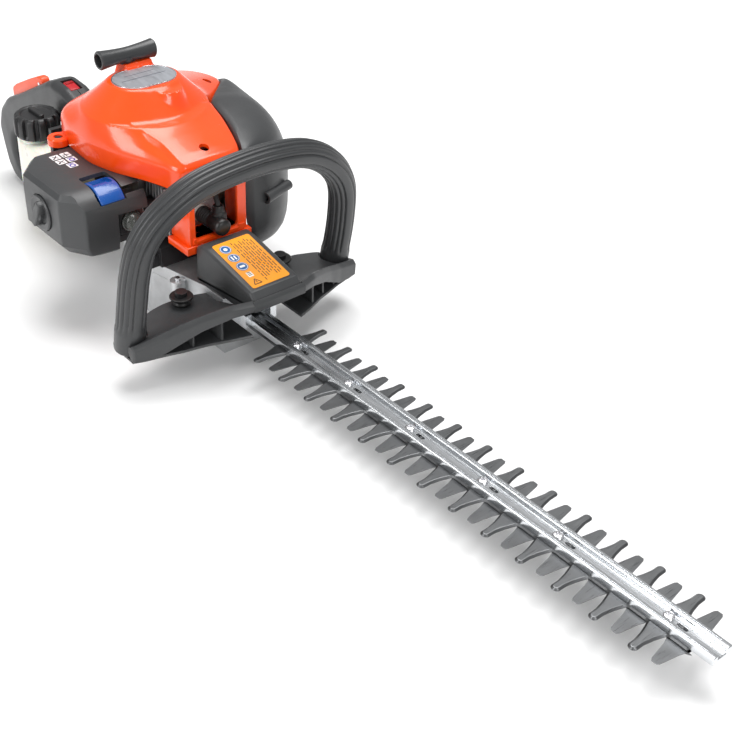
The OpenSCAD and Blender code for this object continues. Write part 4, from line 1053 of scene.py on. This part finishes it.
def front_shroud():
    frame = slab([rect(-30, 88.2, 32, 142.4), rounded(rect(-23.5, 97, 22, 139), 4, 4)],
                 [(-89, 0), (-86.6, 0), (-86, 0.6)], YZ)
    sides = [slab([rect(-116, 88.2, -88.6, 142.4)], fillet(y0, y1, 0.5, 0.5, 2), XZ)
             for y0, y1 in ((-30, -27.2), (29.2, 32))]
    foot = slab([rect(-116, -34, -84.4, 36), rect(-115, -27, -89, 29)], fillet(84.2, 92, 0.6, 1.4, 3))
    lip = slab([rounded([(-27, 93), (29, 93), (29, 99), (22, 99), (22, 96.6), (-23.5, 96.6), (-23.5, 99),
                         (-27, 99)], 1, 3)],
               [(-89, 0), (-85.2, 0), (-84.6, 0.5)], YZ)
    piece("front_shroud_frame", [frame] + sides, "orange_shell", replaces=["front_shroud"])
    piece("front_shroud_foot", [foot], "orange_shell")
    piece("front_shroud_lip", [lip], "orange_shell")


def plug_boot():
    z = 106.0
    rings = [(-110, 7.9), (-108.8, 8)]
    for k in range(5):
        x = -107.5 + 3.0 * k
        rings += [(x, 8.0), (x + 0.5, 7.0), (x + 1.7, 7.0), (x + 2.2, 8.0)]
    rings += [(-91, 7.8), (-84, 8.0), (-79.5, 8.2), (-76.5, 7.8), (-74.8, 6.0), (-74.2, 3.0), (-74, 0.01),
              (-97.5, 0.01), (-97.8, 5.1), (-110, 5.1)]
    tube = lathe([(r, x) for x, r in rings], (0, 0, z), "x", 44)
    neck = lathe([(0.01, z - 4), (7.4, z - 3), (7.6, z + 4), (7.2, z + 9), (5.6, z + 10.5), (5.2, z + 15),
                  (4.6, z + 15.9), (3.2, z + 16), (3.2, z + 12.6), (0.01, z + 12.6)], (-90, 4, 0), "z", 40)
    piece("plug_boot_ribbed", [tube, neck], "rubber_black", replaces=["plug_cap"], angle=40)


def starter_grip():
    """Pull handle: a bar that flares towards its hollow ends, on a flared stem with a web."""
    cx, cz = ROPE_X, 220.5
    rings = []
    for y in np.linspace(-29, 29, 49):
        r = 6.7 + 2.3 * abs(y / 29) ** 1.7 - max(0.0, 1.2 - (29 - abs(y))) * 0.9
        rings.append([(cx + r * 0.94 * math.cos(a), y, cz + r * math.sin(a))
                      for a in (TAU * k / 48 for k in range(48))])
    hollows = [lathe([(0.01, s * 20), (5.2, s * 20), (6.4, s * 30), (0.01, s * 30)], (cx, 0, cz), "y", 36)
               for s in (-1, 1)]
    stem = lathe([(1.9, 213.2), (4.6, 213.2), (4.9, 213.6), (5.3, 214.4), (6.6, 217), (6.6, 219), (1.9, 219)],
                 (cx, 0, 0), segments=32)
    web = slab([rounded([(-12, 215.6), (12, 215.6), (6, 212.4), (-6, 212.4)], 1.2, 3)],
               fillet(cx - 3, cx + 3, 1, 1, 3), YZ)
    for name, shape, replaces, cuts in (("handle", skin(rings), ["starter_grip"], hollows), ("stem", stem, (), ()),
                                        ("web", web, (), ())):
        piece(f"starter_grip_{name}", [shape], "grip_plastic", "starter_grip", replaces, cuts, 40)


def starter_rope():
    """Three strands twisted round each other, and the turn that is left on the pulley."""
    strands = []
    for s in range(3):
        path = [(ROPE_X + 0.72 * math.cos(a), 0.72 * math.sin(a), 184 + 31 * k / 60)
                for k, a in enumerate(TAU * (s / 3 + k / 20) for k in range(61))]
        strands.append(sweep(path, lambda i: circle(0, 0, 0.78, 10), up=(0, 1, 0)))
    ob = raw_object("starter_rope_strands", strands, M["rope_fibre"])
    finish_mesh(ob.data, 60)
    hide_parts("starter_rope")
    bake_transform(ob)
    piece("starter_rope_coil", [lathe(circle(20.8, 183.5, 1.35, 14), (*AXIS, 0), segments=72)], "rope_fibre",
          angle=60)


BULB_AT = (0, -60, 108)


def primer_bulb():
    dome = [(5.9, -133.2), (9.8, -134), (9.9, -133.2), (9.0, -132.6), (8.7, -131.8)]
    dome += [(max(8.7 * math.cos(a), 0.01), -131.8 + 7.7 * math.sin(a))
             for a in (math.pi / 2 * k / 9 for k in range(1, 10))]
    dome += [(0.01, -125.6), (5.0, -127.4), (5.9, -129)]
    piece("primer_bulb_dome", [lathe(dome, BULB_AT, "x", 40)], "bulb_clear", "primer_bulb", ["primer_bulb"],
          angle=50)


def carburettor():
    body = brick((-168, -63, 92), (-141, -41.4, 122), 2.0)
    shaft = lathe(rod(2.2, -67, -60), (-156, 0, 114), "y", 20)
    bore = lathe(rod(5, -64, -40), (-151, 0, 106), "y", 32)
    piece("carburettor_body", [body], "cast_alloy", replaces=["carburettor"], cuts=[bore], angle=32)
    piece("carburettor_shaft", [shaft], "cast_alloy", paint="machine_steel")
    plate = slab([rounded(rect(-72, 96, -47, 120), 3, 4)], [(-140.8, 0), (-135.4, 0), (-134.4, 0.8)], YZ)
    seat = lathe(rod(10.5, -138.4, -130), BULB_AT, "x", 40)
    piece("carburettor_primer_base", [plate], "cast_alloy", cuts=[seat], paint="black_plastic")


def mounts():
    pad = [(3.1, 52.1), (7.6, 52.1), (8, 52.8), (8, 54.2), (7.0, 55.0), (6.6, 56.6), (7.0, 58.2), (7.4, 58.8),
           (10.4, 58.8), (10.8, 59.5), (10.8, 60.4), (10.2, 61.1), (3.1, 61.1)]
    pads = [lathe(pad, (-66, y, 0)) for y in (-55, 55)]
    piece("av_mount_pads", pads, "rubber_black", replaces=["av_mounts"], angle=40)


for make in (starter_cover, muffler_cover, filter_cover, filter_knob, choke_lever, icon_label, badge, front_handle,
             rear_handle, controls, fuel_cap, fuel_tank, hand_guard, gear_cover, warning_label, blades,
             cutting_bar, front_shroud, plug_boot, starter_grip, starter_rope, primer_bulb, carburettor, mounts):
    make()


# ---------------------------------------------------------------- stage, light and camera

floor_mesh = bpy.data.meshes.new("floor")
floor_mesh.from_pydata([(-9, -9, 0), (9, -9, 0), (9, 9, 0), (-9, 9, 0)], [], [(0, 1, 2, 3)])
floor = bpy.data.objects.new("floor", floor_mesh)
scene.collection.objects.link(floor)
s = Shader("floor_paper")
floor_mesh.materials.append(s.set(
    Base_Color=s.mix(s.spread(s.noise(3), 0, 1), (0.90, 0.90, 0.90), (0.92, 0.92, 0.92)), Roughness=0.6,
    Specular_IOR_Level=0.2))

for name, place, width, height, power in (("softbox_top", (-0.3, 0.5, 2.4), 1.9, 1.5, 62),
                                          ("softbox_left", (-0.2, -2.3, 1.3), 0.8, 1.6, 30),
                                          ("softbox_front", (2.4, -0.4, 1.5), 0.9, 0.9, 20)):
    data = bpy.data.lights.new(name, "AREA")
    data.shape, data.size, data.size_y, data.energy = "RECTANGLE", width, height, power
    lamp = bpy.data.objects.new(name, data)
    scene.collection.objects.link(lamp)
    lamp.location = place
    lamp.rotation_euler = (Vector((0, 0, 0.1)) - lamp.location).to_track_quat("-Z", "Y").to_euler()

world = bpy.data.worlds.new("studio")
scene.world = world
world.use_nodes = True
world.node_tree.nodes["Background"].inputs["Color"].default_value = (1, 1, 1, 1)
world.node_tree.nodes["Background"].inputs["Strength"].default_value = 0.42

scene.view_settings.view_transform = "Standard"

# The camera stands at the photograph's viewing angle; its angles are in degrees.
TILT, ROLL, HEADING = 54.719, -2.108, 49.481
camera_data = bpy.data.cameras.new("camera")
camera_data.lens = 62.65
camera_data.sensor_width = 36
camera_data.clip_start = 0.05
camera = bpy.data.objects.new("camera", camera_data)
scene.collection.objects.link(camera)
scene.camera = camera
camera.location = (0.7609, -0.5730, 0.6705)
camera.rotation_euler = [math.radians(a) for a in (TILT, ROLL, HEADING)]
